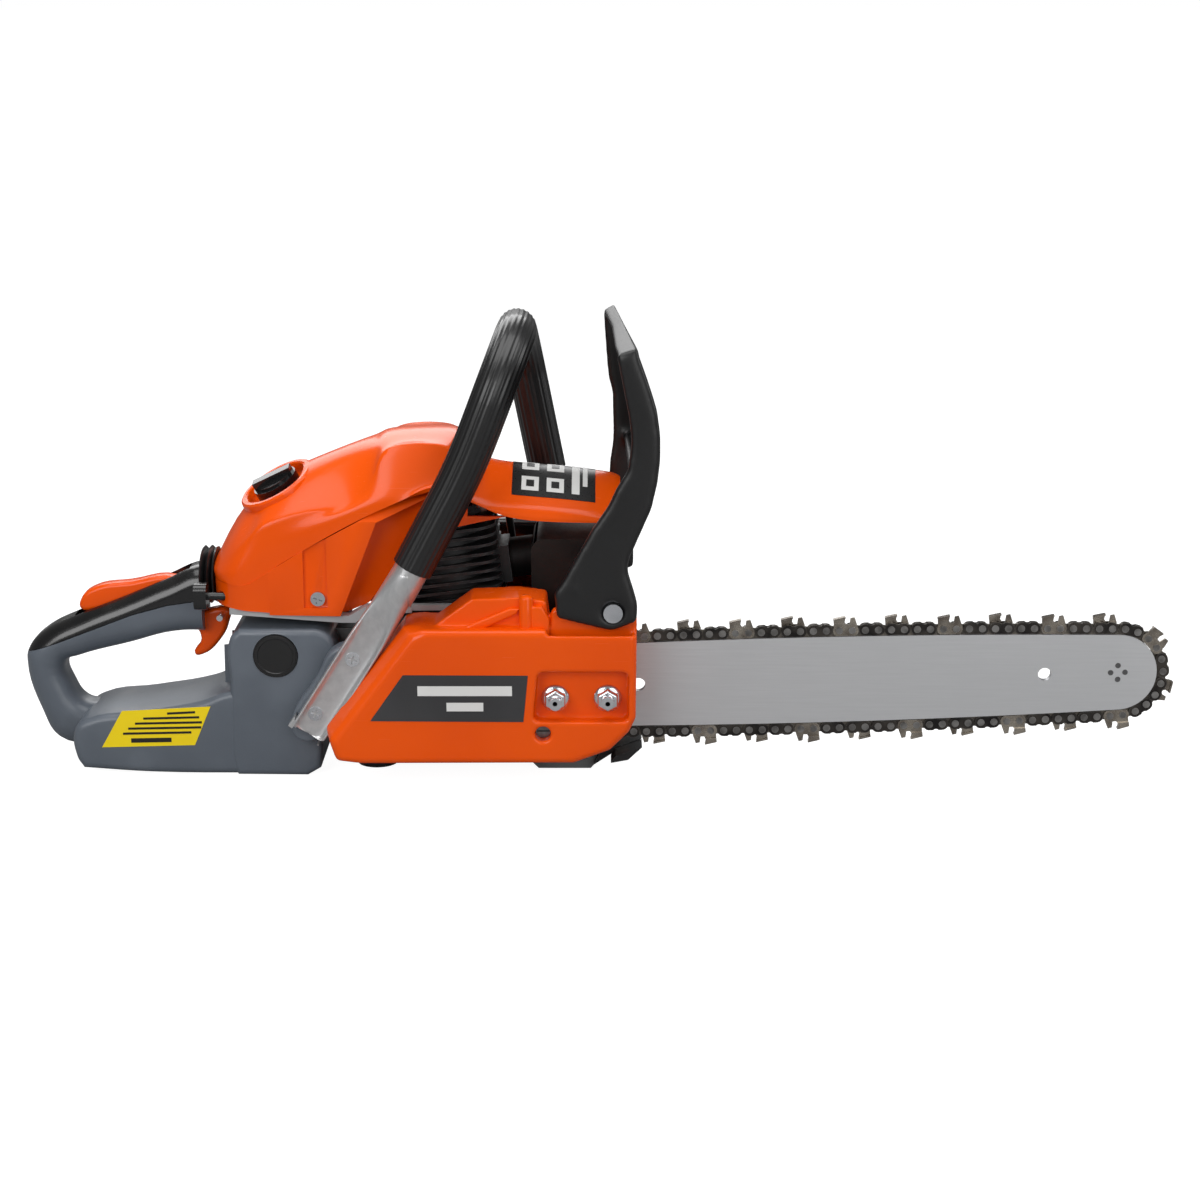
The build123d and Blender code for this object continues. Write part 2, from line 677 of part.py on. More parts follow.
def crankcase():
    """Both halves of the crankcase in one piece, before it is split."""
    shape = prism(engine_outline, engine_right, engine_left)
    rim = [(-74, 24), (-50, 14), (62, 12), (92, 22), (104, 38), (104, 96), (-18, 104), (-30, 102), (-76, 36)]
    shape += prism(rim, cover_back, engine_right + 2)
    cavity = [(-66, 30), (-50, 20), (60, 18), (106, 30), (106, 100), (-18, 98), (-26, 96), (-68, 38)]
    shape -= prism(cavity, cover_back - 1, engine_right)
    deck = Pos(0, 0, deck_height / 2) * Box(66, 66, deck_height)
    shape += cylinder_frame * deck
    shape += prism(pad_outline, pad_face, engine_right + 1, radius=4)
    arm = block(av_x, -60, 24, 66, av_z - 11, av_z + 11) + rod_y(av_x, av_z, 11, 24, 66)
    shape += arm
    shape += block(62, 100, engine_left - 1, handle_left - tube_radius, 50, 92)
    shape += prism([(84, 90), (108, 90), (108, 122), (100, 128), (88, 124)], 96, 104)
    shape -= rod_y(guard_pivot_x, guard_pivot_z, guard_pin_radius + slip, 90, 110)
    for z in left_screws:
        shape -= rod_y(left_screw_x, z, 2.5 + slip, 122, 150)
    shape -= rod_y(0, crank_z, chamber_radius, 31, 65)
    shape -= rod_y(0, crank_z, bearing_radius + 0.02, 20, 76)
    shape -= rod_y(0, crank_z, 15, engine_right - 8, engine_left + 2)
    shape -= cylinder_frame * round_bar(bore_radius + 4 + clear, 0, 60)
    oil = block(62, 100, 22, 78, 14, 78)
    shape -= oil
    shape -= rod_y(82, 30, 11 + slip, 77, engine_left + 1)
    for x, z in stud_places:
        shape -= rod_y(x, z, stud_radius + slip, 0, 21.5)
    return shape


def crankcase_half(right):
    """One half of the crankcase, split on the middle plane of the cylinder."""
    y0, y1 = (-20, cylinder_y) if right else (cylinder_y, 160)
    return crankcase() & block(-200, 200, y0, y1, -20, 200)


def bar_studs():
    """Two studs that carry the bar and the clutch cover."""
    return group([rod_y(x, z, stud_radius, cover_face - 3, 21) for x, z in stud_places])


def bar_nuts():
    """Flange nuts of the bar studs."""
    nuts = []
    for x, z in stud_places:
        nut = rod_y(x, z, nut_flange_radius, pocket_floor - 2, pocket_floor)
        nut += hex_prism_y(x, z, nut_across_flats, pocket_floor - 9, pocket_floor - 2)
        nuts.append(nut - rod_y(x, z, stud_radius + slip, pocket_floor - 10, pocket_floor + 1))
    return group(nuts)


def oil_pump():
    """Oil pump beside the crankshaft, on the right wall of the crankcase."""
    shape = block(16, 40, 8.5, engine_right, 28, 44) + rod_x(11.5, 34, 2.5, 40, 52)
    return shape


def brake_band():
    """Steel band round the clutch drum, with its end bent up to the brake lever."""
    inner = drum_radius + 0.5
    band = tube_y(0, 0, inner + 1, inner, -22.6, -12)
    band -= block(0, 20, -30, 0, 20, 45)
    band += block(19.2, 20.2, -22.6, -12, 28.6, 44)
    return Pos(0, 0, crank_z) * band


# ------------------------------------------------------------------ clutch cover

cover_outline = [(-79.7, 34.5), (-76.3, 21.9), (-60, 20), (73.6, 20.5), (96.3, 29), (108.2, 41), (112.5, 50),
                 (113, 107.5), (-20.1, 107.5), (-27, 104)]
cover_hump = [(-24, 100), (9.5, 124.5), (38.6, 125.7), (56.3, 123.5), (58.8, 100)]
guard_seat = [(58, 100), (60, 118), (70, 121), (92, 128), (108, 126), (113, 118), (113, 100)]


def clutch_cover():
    """Right cover over the clutch: pocket for the bar nuts, hump and seat of the hand guard."""
    outer = prism(cover_outline, cover_face, cover_back, radius=4)
    outer = chamfer(outer.faces().sort_by(Axis.Y)[0].edges(), 2.5)
    inner_face = offset(face_of(cover_outline), amount=-cover_wall, kind=Kind.INTERSECTION)
    outer -= slab(inner_face, cover_face + 3.5, cover_back + 1)
    hump = prism(cover_hump, -26, 4, radius=3)
    hump -= prism([(-16, 98), (10, 121), (38, 122), (55, 120), (56, 98)], -23, 5)
    outer -= block(-14, 55, -23, 5, 100, 110)
    shape = outer + hump
    seat = prism(guard_seat, guard_y0 + guard_thick + 0.7, -20, radius=3)
    shape -= block(57, 120, cover_face - 1, guard_y0 + guard_thick + 0.7, 104, 130)
    shape += seat
    shape += prism([(46, 45), (109, 45), (109, 83), (46, 83)], cover_face, pocket_floor + cover_wall, radius=4)
    shape += prism(pad_outline, pocket_floor, -pad_face, radius=4)
    shape -= prism([(48, 48), (108, 48), (108, 80.5), (51, 80.5)], cover_face - 1, pocket_floor, radius=4)
    shape -= block(105, 120, -6, cover_back + 1, 14, 110) + block(78, 120, -6, cover_back + 1, 14, 56)
    for x, z in stud_places:
        shape -= rod_y(x, z, stud_radius + clear, cover_face - 1, 0)
    shape -= rod_y(54.2, 40, 5, cover_face - 1, -20)
    shape += tube_y(54.2, 40, 7, 5, cover_face + 1, -14)
    shape -= block(50, 58, -10.5, 0, 42, 50)
    shape -= rod_y(guard_pivot_x, guard_pivot_z, guard_pin_radius + slip, -30, -10)
    return shape


def chain_tensioner():
    """Tension screw in the cover and the pin that moves the bar."""
    screw = rod_y(54.2, 40, 4.6, cover_face + 8, -11) - block(50, 58.5, cover_face + 7, cover_face + 10, 39.4, 40.6)
    x, z = on_bar(tensioner_u, -tensioner_v)
    pin = rod_y(x, z, 2.9, -10, 1.5) + block(50.6, 57.4, -10.2, -6.2, 36, 49.4)
    return group([screw, pin])


def chain_catcher():
    """Hook below the chain at the front of the crankcase."""
    base = prism([(86, 4), (98, 12), (108, 14), (117, 22), (104, 17.5), (90, 13)], 9, 30)
    tongue = prism([(97, 11), (108, 13), (117, 21.5), (100, 15.5)], -8, 9)
    return (base + tongue) - prism(engine_outline, engine_right, engine_left)


decal_thick = 0.3


def decals():
    """Flat plates: badge on the clutch cover and sticker on the tank."""
    badge = prism([(-54, 49), (42, 48.4), (45, 78.7), (-33, 79)], cover_face - decal_thick, cover_face)
    sticker = prism([(-231, 19.5), (-171, 21), (-160, 47), (-217, 44)], tank_right - decal_thick, tank_right)
    return group([badge, sticker])


# ------------------------------------------------------------------ hood

hood_side = [(-158, 108), (-160, 121), (-156.5, 137), (-141, 168), (-119, 191.5), (-99.5, 198), (-64.4, 211),
             (-43.4, 218), (-6.6, 219.5), (4, 213), (18, 200), (39, 195), (103, 186), (103, 175), (31, 169),
             (-20, 158), (-58, 112.5), (-72, 106.5)]
hood_front = [(0, 100), (0, 168), (6, 178), (20, 200), (40, 216), (56, 220), (72, 216), (90, 196), (96, 170),
              (96, 100)]
recess_side = [(-76, 104), (-51, 167.7), (-14, 184), (32, 173), (32, 150), (-20, 100)]
seam = [(-170, 127), (-134, 127), (-100, 148), (-50, 175), (-17, 190), (4, 190), (4, 230), (-170, 230)]


knob_axis = Pos(knob_x, knob_y, knob_z) * Rot(knob_roll, 0, 0) * Rot(0, -knob_lean, 0)


def hood_shell():
    """Whole hood as one hollow shell, before it is split into its two covers."""
    side_face = face_of(hood_side)
    front_face = face_of(hood_front)
    outer = slab(side_face, hood_right, hood_left) & section(front_face, -200, 200)
    recess = prism(recess_side, -10, 12)
    outer -= recess
    side_in = offset(side_face, amount=-hood_wall, kind=Kind.INTERSECTION)
    side_in += face_of([(-155, 95), (-155, 120), (-20, 175), (99, 176), (99, 160), (-20, 150), (-55, 95)])
    front_in = offset(front_face, amount=-hood_wall, kind=Kind.INTERSECTION)
    front_in += face_of([(hood_wall, 90), (hood_wall, 120), (hood_left - hood_wall, 120), (hood_left - hood_wall, 90)])
    inner = slab(side_in, hood_right, hood_left) & section(front_in, -200, 200)
    wider = offset(face_of(recess_side), amount=hood_wall, kind=Kind.INTERSECTION)
    inner -= slab(wider, -10, 12 + hood_wall)
    shape = outer - inner
    shape -= block(-68, 70, 82, 100, 90, 131)
    return shape


def split_hood():
    """Filter cover above the seam and top cover below it."""
    shell = hood_shell()
    upper = prism(seam, -10, 110)
    cover = shell & upper
    ring = knob_axis * (round_bar(26, -14, 2) - round_bar(22, -5, 3))
    ring = ring - hood_void()
    cover += ring
    cover -= knob_axis * round_bar(16, -5, 30)
    cover -= knob_axis * round_bar(4 + clear, -40, 10)
    rest = shell - upper
    rest -= rod_x(choke_y, choke_z, choke_radius + clear, -170, -130)
    rest -= rod_y(-89.1, 118, 2.5 + slip, -5, 20)
    rest -= block(-98, -83, -5, 2.0, 112, 157)
    return cover, rest


def hood_void():
    """Room inside the hood."""
    side_in = offset(face_of(hood_side), amount=-hood_wall, kind=Kind.INTERSECTION)
    front_in = offset(face_of(hood_front), amount=-hood_wall, kind=Kind.INTERSECTION)
    return slab(side_in, hood_right, hood_left) & section(front_in, -200, 200)


# ------------------------------------------------------------------ intake under the hood

carb_x0 = -104.0
carb_x1 = -68.0
shaft_x = -86.0           # throttle shaft
shaft_z = 127.0


def intake_boot():
    """Rubber duct between the cylinder and the carburettor."""
    start = cylinder_frame * Pos(-42.3, 0, 68)
    x1 = start.position.X
    z1 = start.position.Z
    shape = rod_x(cylinder_y, z1, 17, carb_x1 + 0.2, x1 - 4) - rod_x(cylinder_y, z1, 11, carb_x1 - 1, x1 + 1)
    flange = cylinder_frame * Pos(-44.3, 0, 68) * Box(3.4, 32, 22)
    hole = rod_x(cylinder_y, z1, 11, x1 - 12, x1 + 12)
    return shape + (flange - hole) + (rod_x(cylinder_y, z1, 15, x1 - 9, x1 - 3.6) - hole)


def carburettor():
    """Carburettor block with its bore, throttle shaft and choke lever."""
    bore_z = (cylinder_frame * Pos(-42.3, 0, 68)).position.Z
    shape = block(carb_x0, carb_x1, 30, 66, 110, 148)
    shape -= rod_x(cylinder_y, bore_z, 11, carb_x0 - 1, carb_x1 + 1)
    shape += rod_y(shaft_x, shaft_z, 2.5, 29, 74) - rod_x(cylinder_y, bore_z, 11, carb_x0 - 1, carb_x1 + 1)
    shape += block(carb_x0, carb_x0 + 5, choke_y - 1, 31, choke_z - 3, choke_z + 3)
    shape += block(-104, -80, 36, 60, 108.1, 110)
    return shape - knob_axis * round_bar(4 + clear, -70, 10)


def throttle_lever():
    """Lever on the throttle shaft, pulled by the trigger's rod."""
    shape = tube_y(shaft_x, shaft_z, 6, 2.5 + slip, 68.3, 72)
    arm = prism([(shaft_x - 3, shaft_z - 5), (shaft_x + 3, shaft_z - 5), (shaft_x + 2, shaft_z - 17),
                 (shaft_x - 2, shaft_z - 17)], 68.3, 72)
    return shape + arm


def air_filter():
    """Filter element behind the carburettor."""
    shape = block(-146, -104.3, 22, 74, 111.2, 156)
    shape = fillet(shape.edges().filter_by(Axis.Y), 8)
    return shape - knob_axis * round_bar(5, -80, 10)


def filter_knob():
    """Knob and stud that clamp the filter cover down on the carburettor."""
    shape = round_bar(15, -4.7, 3) + round_bar(12, 2, 4.5) + Pos(0, 0, 4) * Box(27, 7, 8)
    shape += round_bar(4, -44, -4)
    return knob_axis * shape


def choke_rod():
    """Choke rod with its knob behind the hood."""
    knob = Pos(-165, choke_y, choke_z) * Box(8, 13, 17)
    knob = fillet(knob.edges().filter_by(Axis.X), 5)
    return knob + rod_x(choke_y, choke_z, choke_radius, -162, carb_x0 - clear)


def base_plate():
    """Light plate under the hood that carries the filter box and the carburettor."""
    outline = [(-146, 107), (-75, 101.5), (-66, 101.5), (-58, 107.8), (6, 108.2), (6, 111.5), (-60, 111.5),
               (-70, 106), (-75, 106), (-146, 111)]
    shape = prism(outline, 3, 93)
    shape -= block(-71, 20, 14, 100, 90, 120)
    return shape - block(-30, 20, 0, cover_back + 1, 90, 120)


# ------------------------------------------------------------------ rear handle and tank

tank_outline = [(-248, 10), (-243, 4), (-146, 0), (-98, 0), (-89, 6), (-89, 38), (-84, 44), (-80, 70), (-80, 92),
                (-100, 98), (-146, 98), (-149, 52), (-244, 37), (-252, 30)]
loop_outer = [(-266, 16), (-277, 33), (-286, 70), (-275, 85), (-249.5, 98.6), (-193, 121.6), (-166, 131),
              (-152, 128), (-146, 98), (-148, 40), (-240, 20)]
loop_opening = [(-259.6, 66), (-256.5, 50), (-250, 39), (-242, 37.3), (-149, 52.5), (-144.5, 62), (-149, 89),
                (-160, 86), (-187.4, 86.3), (-217, 78.2)]
grip_seam = [(-300, 66), (-283, 73.6), (-261.7, 81), (-214, 99.3), (-191, 105.7), (-169, 109), (-140, 110),
             (-140, 150), (-300, 150)]
grip_y0 = grip_mid - grip_width / 2
grip_y1 = grip_mid + grip_width / 2
lever_bay = [(-252, 93), (-182, 116), (-150, 118), (-150, 92), (-190, 92), (-215, 86)]
trigger_slot = [(-193, 80), (-152, 80), (-152, 100), (-193, 100)]


def rear_handle():
    """Rear handle and fuel tank in one moulding."""
    tank = prism(tank_outline, tank_right, tank_left, radius=3)
    tank = fillet(tank.faces().sort_by(Axis.Y)[0].edges() + tank.faces().sort_by(Axis.Y)[-1].edges(), 2.5)
    fuel = [(-238, 12), (-146, 7), (-100, 7), (-97, 60), (-140, 60), (-146, 46), (-238, 31)]
    tank -= prism(fuel, tank_right + tank_wall, tank_rear_left - tank_wall)
    front_fuel = [(-143, 7), (-100, 7), (-97, 60), (-140, 60), (-143, 46)]
    tank -= prism(front_fuel, tank_rear_left - tank_wall - 1, tank_left - tank_wall)
    tank -= block(-260, -149, tank_rear_left, tank_left + 1, -5, 60)
    loop = prism(loop_outer, grip_y0, grip_y1)
    loop -= prism(loop_opening, grip_y0 - 1, grip_y1 + 1)
    loop -= prism(tank_outline, grip_y0 - 1, grip_y1 + 1)
    loop -= prism(grip_seam, grip_y0 - 1, grip_y1 + 1)
    loop -= block(-168, -100, 0, 100, 105, 160)
    shape = tank + loop
    shape -= prism(lever_bay, grip_mid - 10, grip_mid + 10)
    shape -= prism(trigger_slot, grip_mid - 7, grip_mid + 7)
    shape -= block(-140, -70, 20, 70, 66, 110)
    for y0, y1 in ((tank_right - 1, 8.3), (tank_left - 8.3, tank_left + 1)):
        shape -= rod_y(av_x, av_z, av_radius + clear, y0, y1)
    shape -= rod_y(av_x, av_z, 10 + clear, 0, 100)
    shape -= rod_y(filler_x, filler_z, 14 + slip, tank_left - 6, tank_left + 1)
    lug = [(-108, 34), (-93, 24), (-84, 34), (-56, 76), (-62, 90), (-76, 92), (-90, 70)]
    shape += prism(lug, handle_right + 5.3, tank_right + 10)
    for x, z in bracket_screws:
        shape -= rod_y(x, z, 2.5 + slip, -20, 6)
    shape -= rod_x(43, 25, 6 + slip, -94.5, -80)
    for x, z in (trigger_pivot, lockout_pivot):
        shape -= rod_y(x, z, lever_pin_radius + slip, grip_y0 + 2, grip_y1 - 2)
    return shape


def grip_cover():
    """Black upper half of the rear grip."""
    whole = prism(loop_outer, grip_y0, grip_y1)
    shape = whole & prism(grip_seam, grip_y0 - 1, grip_y1 + 1)
    shape -= block(-168, -100, 0, 100, 90, 160)
    shape -= prism(lever_bay, grip_mid - 10, grip_mid + 10)
    shape -= prism([(-254, 90), (-254, 125), (-177, 130), (-177, 90)], grip_mid - 8, grip_mid + 8)
    for x, z in (trigger_pivot, lockout_pivot):
        shape -= rod_y(x, z, lever_pin_radius + slip, grip_y0 + 2, grip_y1 - 2)
    return shape


def lockout_lever():
    """Throttle lockout on top of the grip, hinged at its front end."""
    x, z = lockout_pivot
    shape = prism([(-249, 100.5), (-248, 107), (-240, 115), (-216, 119), (x + 2, 122), (x + 6, 116), (x + 3, 108),
                   (-205, 104), (-212, 102), (-238, 100)], grip_mid - 6.5, grip_mid + 6.5)
    return shape - rod_y(x, z, lever_pin_radius + slip, 0, 100)


def throttle_trigger():
    """Trigger under the grip, hinged at its front end."""
    x, z = trigger_pivot
    outline = [(x - 4, z + 4), (x + 4, z + 4), (x + 3, z - 8), (x - 2, z - 17), (-172, 69.5), (-176, 70),
               (-171, 80), (-176, 90), (-189, 91), (-189, 96), (-170, 98)]
    return prism(outline, grip_mid - 5.5, grip_mid + 5.5) - rod_y(x, z, lever_pin_radius + slip, 0, 100)


def pivot_pins():
    """Pins of the trigger, the lockout and both arms of the hand guard."""
    pins = []
    for x, z in (trigger_pivot, lockout_pivot):
        pins.append(rod_y(x, z, lever_pin_radius, grip_y0 + 2.2, grip_y1 - 2.2))
    guard = rod_y(guard_pivot_x, guard_pivot_z, guard_pin_radius, guard_y0 - 1.5, -20.3)
    left = rod_y(guard_pivot_x, guard_pivot_z, guard_pin_radius, 95, guard_left + 1)
    return group(pins + [guard, left])


def handle_boot():
    """Ribbed rubber boot between the grip and the hood."""
    shape = block(-167.8, -160.2, 22, 68, 105.2, 141)
    return fillet(shape.edges().filter_by(Axis.X), 10)


def rubber_mounts():
    """Two anti-vibration mounts at the side, one at the front of the tank, and the round foot."""
    right = rod_y(av_x, av_z, av_radius, tank_right - 1, 8) + rod_y(av_x, av_z, 10, 7, 23.8)
    left = rod_y(av_x, av_z, av_radius, tank_left - 8, tank_left + 1) + rod_y(av_x, av_z, 10, 66.2, 81)
    front = rod_x(43, 25, 10, -88.8, -62.2) + rod_x(43, 25, 6, -89 - 5, -80)
    foot = Pos(-56, 28, 4) * Cylinder(13, 8)
    foot -= prism(engine_outline, 0, 90)
    return group([right, left, front, foot])


def cap_on(x, z, radius, y0):
    """Screw cap on the left side, with a rib to turn it by."""
    shape = rod_y(x, z, radius + 3, y0 + 0.2, y0 + 7) + rod_y(x, z, radius, y0 - 5, y0 + 1)
    return shape + block(x - radius + 1, x + radius - 1, y0 + 6, y0 + 11, z - 2.5, z + 2.5)


# ------------------------------------------------------------------ front handle

bracket_screws = [(-65.8, 84.4), (-90.2, 48.8)]
handle_points = [(-58.4, handle_right, 89.6), (-29.6, handle_right, 138.4), (7.2, handle_right, 207.9),
                 (38.0, handle_right, 288.0), (34.0, handle_left, 270.0), (52.0, handle_left, 178.0),
                 (80.0, handle_left, 62.0)]
handle_radii = [500, 400, 40, 40, 120]


def handle_sweep(outer, inner, points):
    """Round tube along the handle's route."""
    radii = handle_radii[handle_points.index(points[1]) - 1:][:len(points) - 2]
    path = FilletPolyline(*points, radius=radii)
    direction = Vector(*points[1]) - Vector(*points[0])
    start = Plane(origin=points[0], z_dir=direction)
    return sweep(start * (Circle(outer) - Circle(inner)), path=path)


def front_handle():
    """Bent aluminium tube with a flattened foot at each end."""
    tube = handle_sweep(tube_radius, tube_radius - tube_wall, handle_points)
    x0, z0 = -98.0, 35.0
    x1, z1 = -52.0, 100.0
    slope = math.degrees(math.atan2(z1 - z0, x1 - x0))
    length = math.hypot(x1 - x0, z1 - z0)
    foot = Pos((x0 + x1) / 2, 0, (z0 + z1) / 2) * Rot(0, -slope, 0)
    plate_y0 = handle_right - 5
    strap = foot * (Pos(0, plate_y0 + 5, 0) * Box(length, 10, 23))
    strap -= foot * (Pos(-6, plate_y0 + 1, 0) * Box(length, 8, 17))
    tube -= foot * (Pos(-8, handle_right, 0) * Box(length - 8, 40, 40))
    tube -= block(60, 100, 130, 180, 40, 98)
    left_foot = prism([(66, 106), (90, 106), (94, 50), (70, 50)], handle_left - tube_radius, handle_left - 3)
    shape = tube + strap
    for x, z in bracket_screws:
        shape -= rod_y(x, z, 2.5 + slip, -40, 0)
    shape += left_foot
    for z in left_screws:
        shape -= rod_y(left_screw_x, z, 2.5 + slip, 100, 160)
    return shape


left_screws = [60.0, 84.0]
left_screw_x = 81.0


def front_grip():
    """Rubber sleeve over the front handle."""
    start = (-27.0, handle_right, 143.3)
    points = [start] + handle_points[2:5] + [(50.0, handle_left, 188.0)]
    return handle_sweep(front_grip_radius, tube_radius + 0.2, points)


def cross_screw(x, z, y0, length):
    """Pan-head screw along Y; its head lies on the plane y0."""
    shape = rod_y(x, z, 4.6, y0 - 2.6, y0) + rod_y(x, z, 2.5, y0 - 1, y0 + length)
    cross = block(-0.6, 0.6, y0 - 3, y0 - 1.4, -3, 3) + block(-3, 3, y0 - 3, y0 - 1.4, -0.6, 0.6)
    return shape - Pos(x, 0, z) * Rot(0, 20, 0) * cross


def screws():
    """Screws of the front handle and of the hood."""
    shapes = [cross_screw(x, z, handle_right + 0.0, 20) for x, z in bracket_screws]
    shapes.append(cross_screw(-89.1, 118, 2.0, 12))
    for z in left_screws:
        shapes.append(mirror(cross_screw(left_screw_x, z, -(handle_left - 3), 20), about=Plane.XZ))
    return group(shapes)


# ------------------------------------------------------------------ hand guard

arm_rear = [(63, 115), (61.5, 131), (66.3, 137.7), (85, 171.3), (94.9, 185.8), (99.8, 196.6), (107.1, 208.7),
            (109.2, 226), (107.6, 241), (103.9, 259.7), (100.3, 278)]
arm_front = [(112.7, 280.4), (120.1, 259.7), (124.7, 244.9), (126.8, 229.8), (126.9, 214.8), (125.3, 200.2),
             (121.8, 184.5), (113.4, 165), (107.9, 152.4), (107.1, 145), (111, 132.6), (113.6, 123),
             (113, 112.6), (97.3, 106.6)]
shield_wall = 4.0


def hand_guard():
    """Front hand guard: right arm, curved shield and left arm, with the link pin of the brake."""
    right = prism(arm_rear + arm_front, guard_y0, guard_y0 + guard_thick, radius=1.2)
    front = [(112.7, 280.4), (120.1, 259.7), (124.7, 244.9), (126.8, 229.8), (126.9, 214.8), (125.3, 200.2)]
    back = [(x - shield_wall, z) for x, z in reversed(front)]
    shield = prism(front + back, guard_y0 + 1, guard_left)
    top = prism([(100.3, 276), (100.3, 280), (112.7, 284), (113.5, 279)], guard_y0 + 1, guard_left)
    rib = prism([(125.3, 200.2), (119, 194), (107, 200), (110, 204)], guard_y0 + 1, guard_left)
    left_arm = [(97, 190), (109, 226), (103.9, 259.7), (100.3, 278), (112.7, 280.4), (124.7, 244.9), (126.9, 214.8),
                (121.8, 184.5), (113, 140), (113, 112), (97.3, 106.6), (88, 112), (88, 126), (94, 150)]
    left = prism(left_arm, guard_left - 6, guard_left, radius=1.2)
    shape = right + shield + top + rib + left
    shape -= rod_y(guard_pivot_x, guard_pivot_z, guard_pin_radius + slip, -60, 160)
    shape -= rod_y(74.2, 133.4, 2.2 + slip, -60, 0)
    link = rod_y(74.2, 133.4, 2.2, guard_y0 - 0.6, guard_y0 + guard_thick + 3)
    return group([shape, link])


# ------------------------------------------------------------------ starter

pulley_y0 = 118.5
pulley_y1 = 126.5
rope_x = pulley_radius - 2.0


def starter_housing():
    """Housing of the recoil starter on the left side, with slots for the cooling air."""
    outline = [(-62, 20), (-46, 8), (46, 8), (60, 22), (60, 96), (46, 110), (34, 128), (-34, 128), (-50, 108),
               (-62, 92)]
    shape = prism(outline, engine_left, housing_left, radius=6)
    inner = offset(face_of(outline), amount=-3, kind=Kind.INTERSECTION)
    shape -= slab(inner, engine_left - 1, housing_left - 3)
    for index in range(18):
        slot = block(33, 44, housing_left - 5, housing_left + 1, -2, 2)
        shape -= Pos(0, 0, crank_z) * Rot(0, 20 * index, 0) * slot
    shape += rod_y(0, crank_z, 6, pulley_y0 - 1, housing_left - 1)
    shape -= rod_x(92, 116, 8.5, 28, 60)
    shape -= Pos(rope_x, 122.5, 120) * Cylinder(rope_radius + clear, 40)
    return shape


def starter_pulley():
    """Rope pulley on its stub axle."""
    x, z = 0, crank_z
    shape = tube_y(x, z, pulley_radius, 6 + slip, pulley_y0, pulley_y1)
    groove = tube_y(x, z, pulley_radius + 5, pulley_radius - 4, pulley_y0 + 1.7, pulley_y1 - 1.7)
    return shape - groove


def starter_grip():
    """Starter handle on top of the housing, with the straight stretch of its rope."""
    grip = Pos(rope_x, 122.5, 136) * Box(56, 17, 15)
    grip = fillet(grip.edges(), 5)
    rope = Pos(rope_x, 122.5, (crank_z + 131) / 2) * Cylinder(rope_radius, 131 - crank_z)
    return grip + rope


def stop_switch():
    """Slide switch on the left side of the grip."""
    return block(-188, -176, grip_y1 + 0.1, grip_y1 + 4, 109, 115)


# ------------------------------------------------------------------ build

hood_upper, hood_lower = split_hood()
chain_nodes = chain()
nodes = {
    "crankcase_right": crankcase_half(True),
    "crankcase_left": crankcase_half(False),
    "crankshaft": crankshaft(),
    "main_bearings": main_bearings(),
    "flywheel": flywheel(),
    "cylinder": cylinder(),
    "piston": piston(),
    "connecting_rod": connecting_rod(),
    "piston_pins": piston_pins(),
    "spark_plug": spark_plug(),
    "plug_boot": plug_boot(),
    "ignition_lead": ignition_lead(),
    "ignition_coil": ignition_coil(),
    "muffler": muffler(),
    "clutch_drum": clutch_drum(),
    "rim_sprocket": rim_sprocket(),
    "clutch_hub": clutch_hub(),
    "clutch_shoes": clutch_shoes(),
    "brake_band": brake_band(),
    "oil_pump": oil_pump(),
    "clutch_cover": clutch_cover(),
    "decals": decals(),
    "bar_studs": bar_studs(),
    "bar_nuts": bar_nuts(),
    "chain_tensioner": chain_tensioner(),
    "chain_catcher": chain_catcher(),
    "guide_bar": guide_bar(),
    "nose_sprocket": nose_sprocket(),
    "nose_rivets": nose_rivets(),
    "drive_links": chain_nodes[0],
    "tie_straps": chain_nodes[1],
    "cutters_right": chain_nodes[2],
    "cutters_left": chain_nodes[3],
    "chain_rivets": chain_nodes[4],
    "filter_cover": hood_upper,
    "top_cover": hood_lower,
    "filter_knob": filter_knob(),
    "air_filter": air_filter(),
    "carburettor": carburettor(),
    "throttle_lever": throttle_lever(),
    "intake_boot": intake_boot(),
    "choke_rod": choke_rod(),
    "base_plate": base_plate(),
    "rear_handle": rear_handle(),
    "grip_cover": grip_cover(),
    "handle_boot": handle_boot(),
    "throttle_trigger": throttle_trigger(),
    "lockout_lever": lockout_lever(),
    "pivot_pins": pivot_pins(),
    "rubber_mounts": rubber_mounts(),
    "fuel_cap": cap_on(filler_x, filler_z, 14, tank_left),
    "oil_cap": cap_on(82, 30, 11, engine_left),
    "front_handle": front_handle(),
    "front_grip": front_grip(),
    "screws": screws(),
    "hand_guard": hand_guard(),
    "starter_housing": starter_housing(),
    "starter_pulley": starter_pulley(),
    "starter_grip": starter_grip(),
    "stop_switch": stop_switch(),
}

box = Compound(list(nodes.values())).bounding_box()
shift = Pos(-(box.min.X + box.max.X) / 2, -(box.min.Y + box.max.Y) / 2, -box.min.Z)
os.makedirs("parts", exist_ok=True)
for name, shape in nodes.items():
    export_step(shift * shape, f"parts/{name}.step")
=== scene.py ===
import json
import math

import bpy
from mathutils import Matrix, Vector


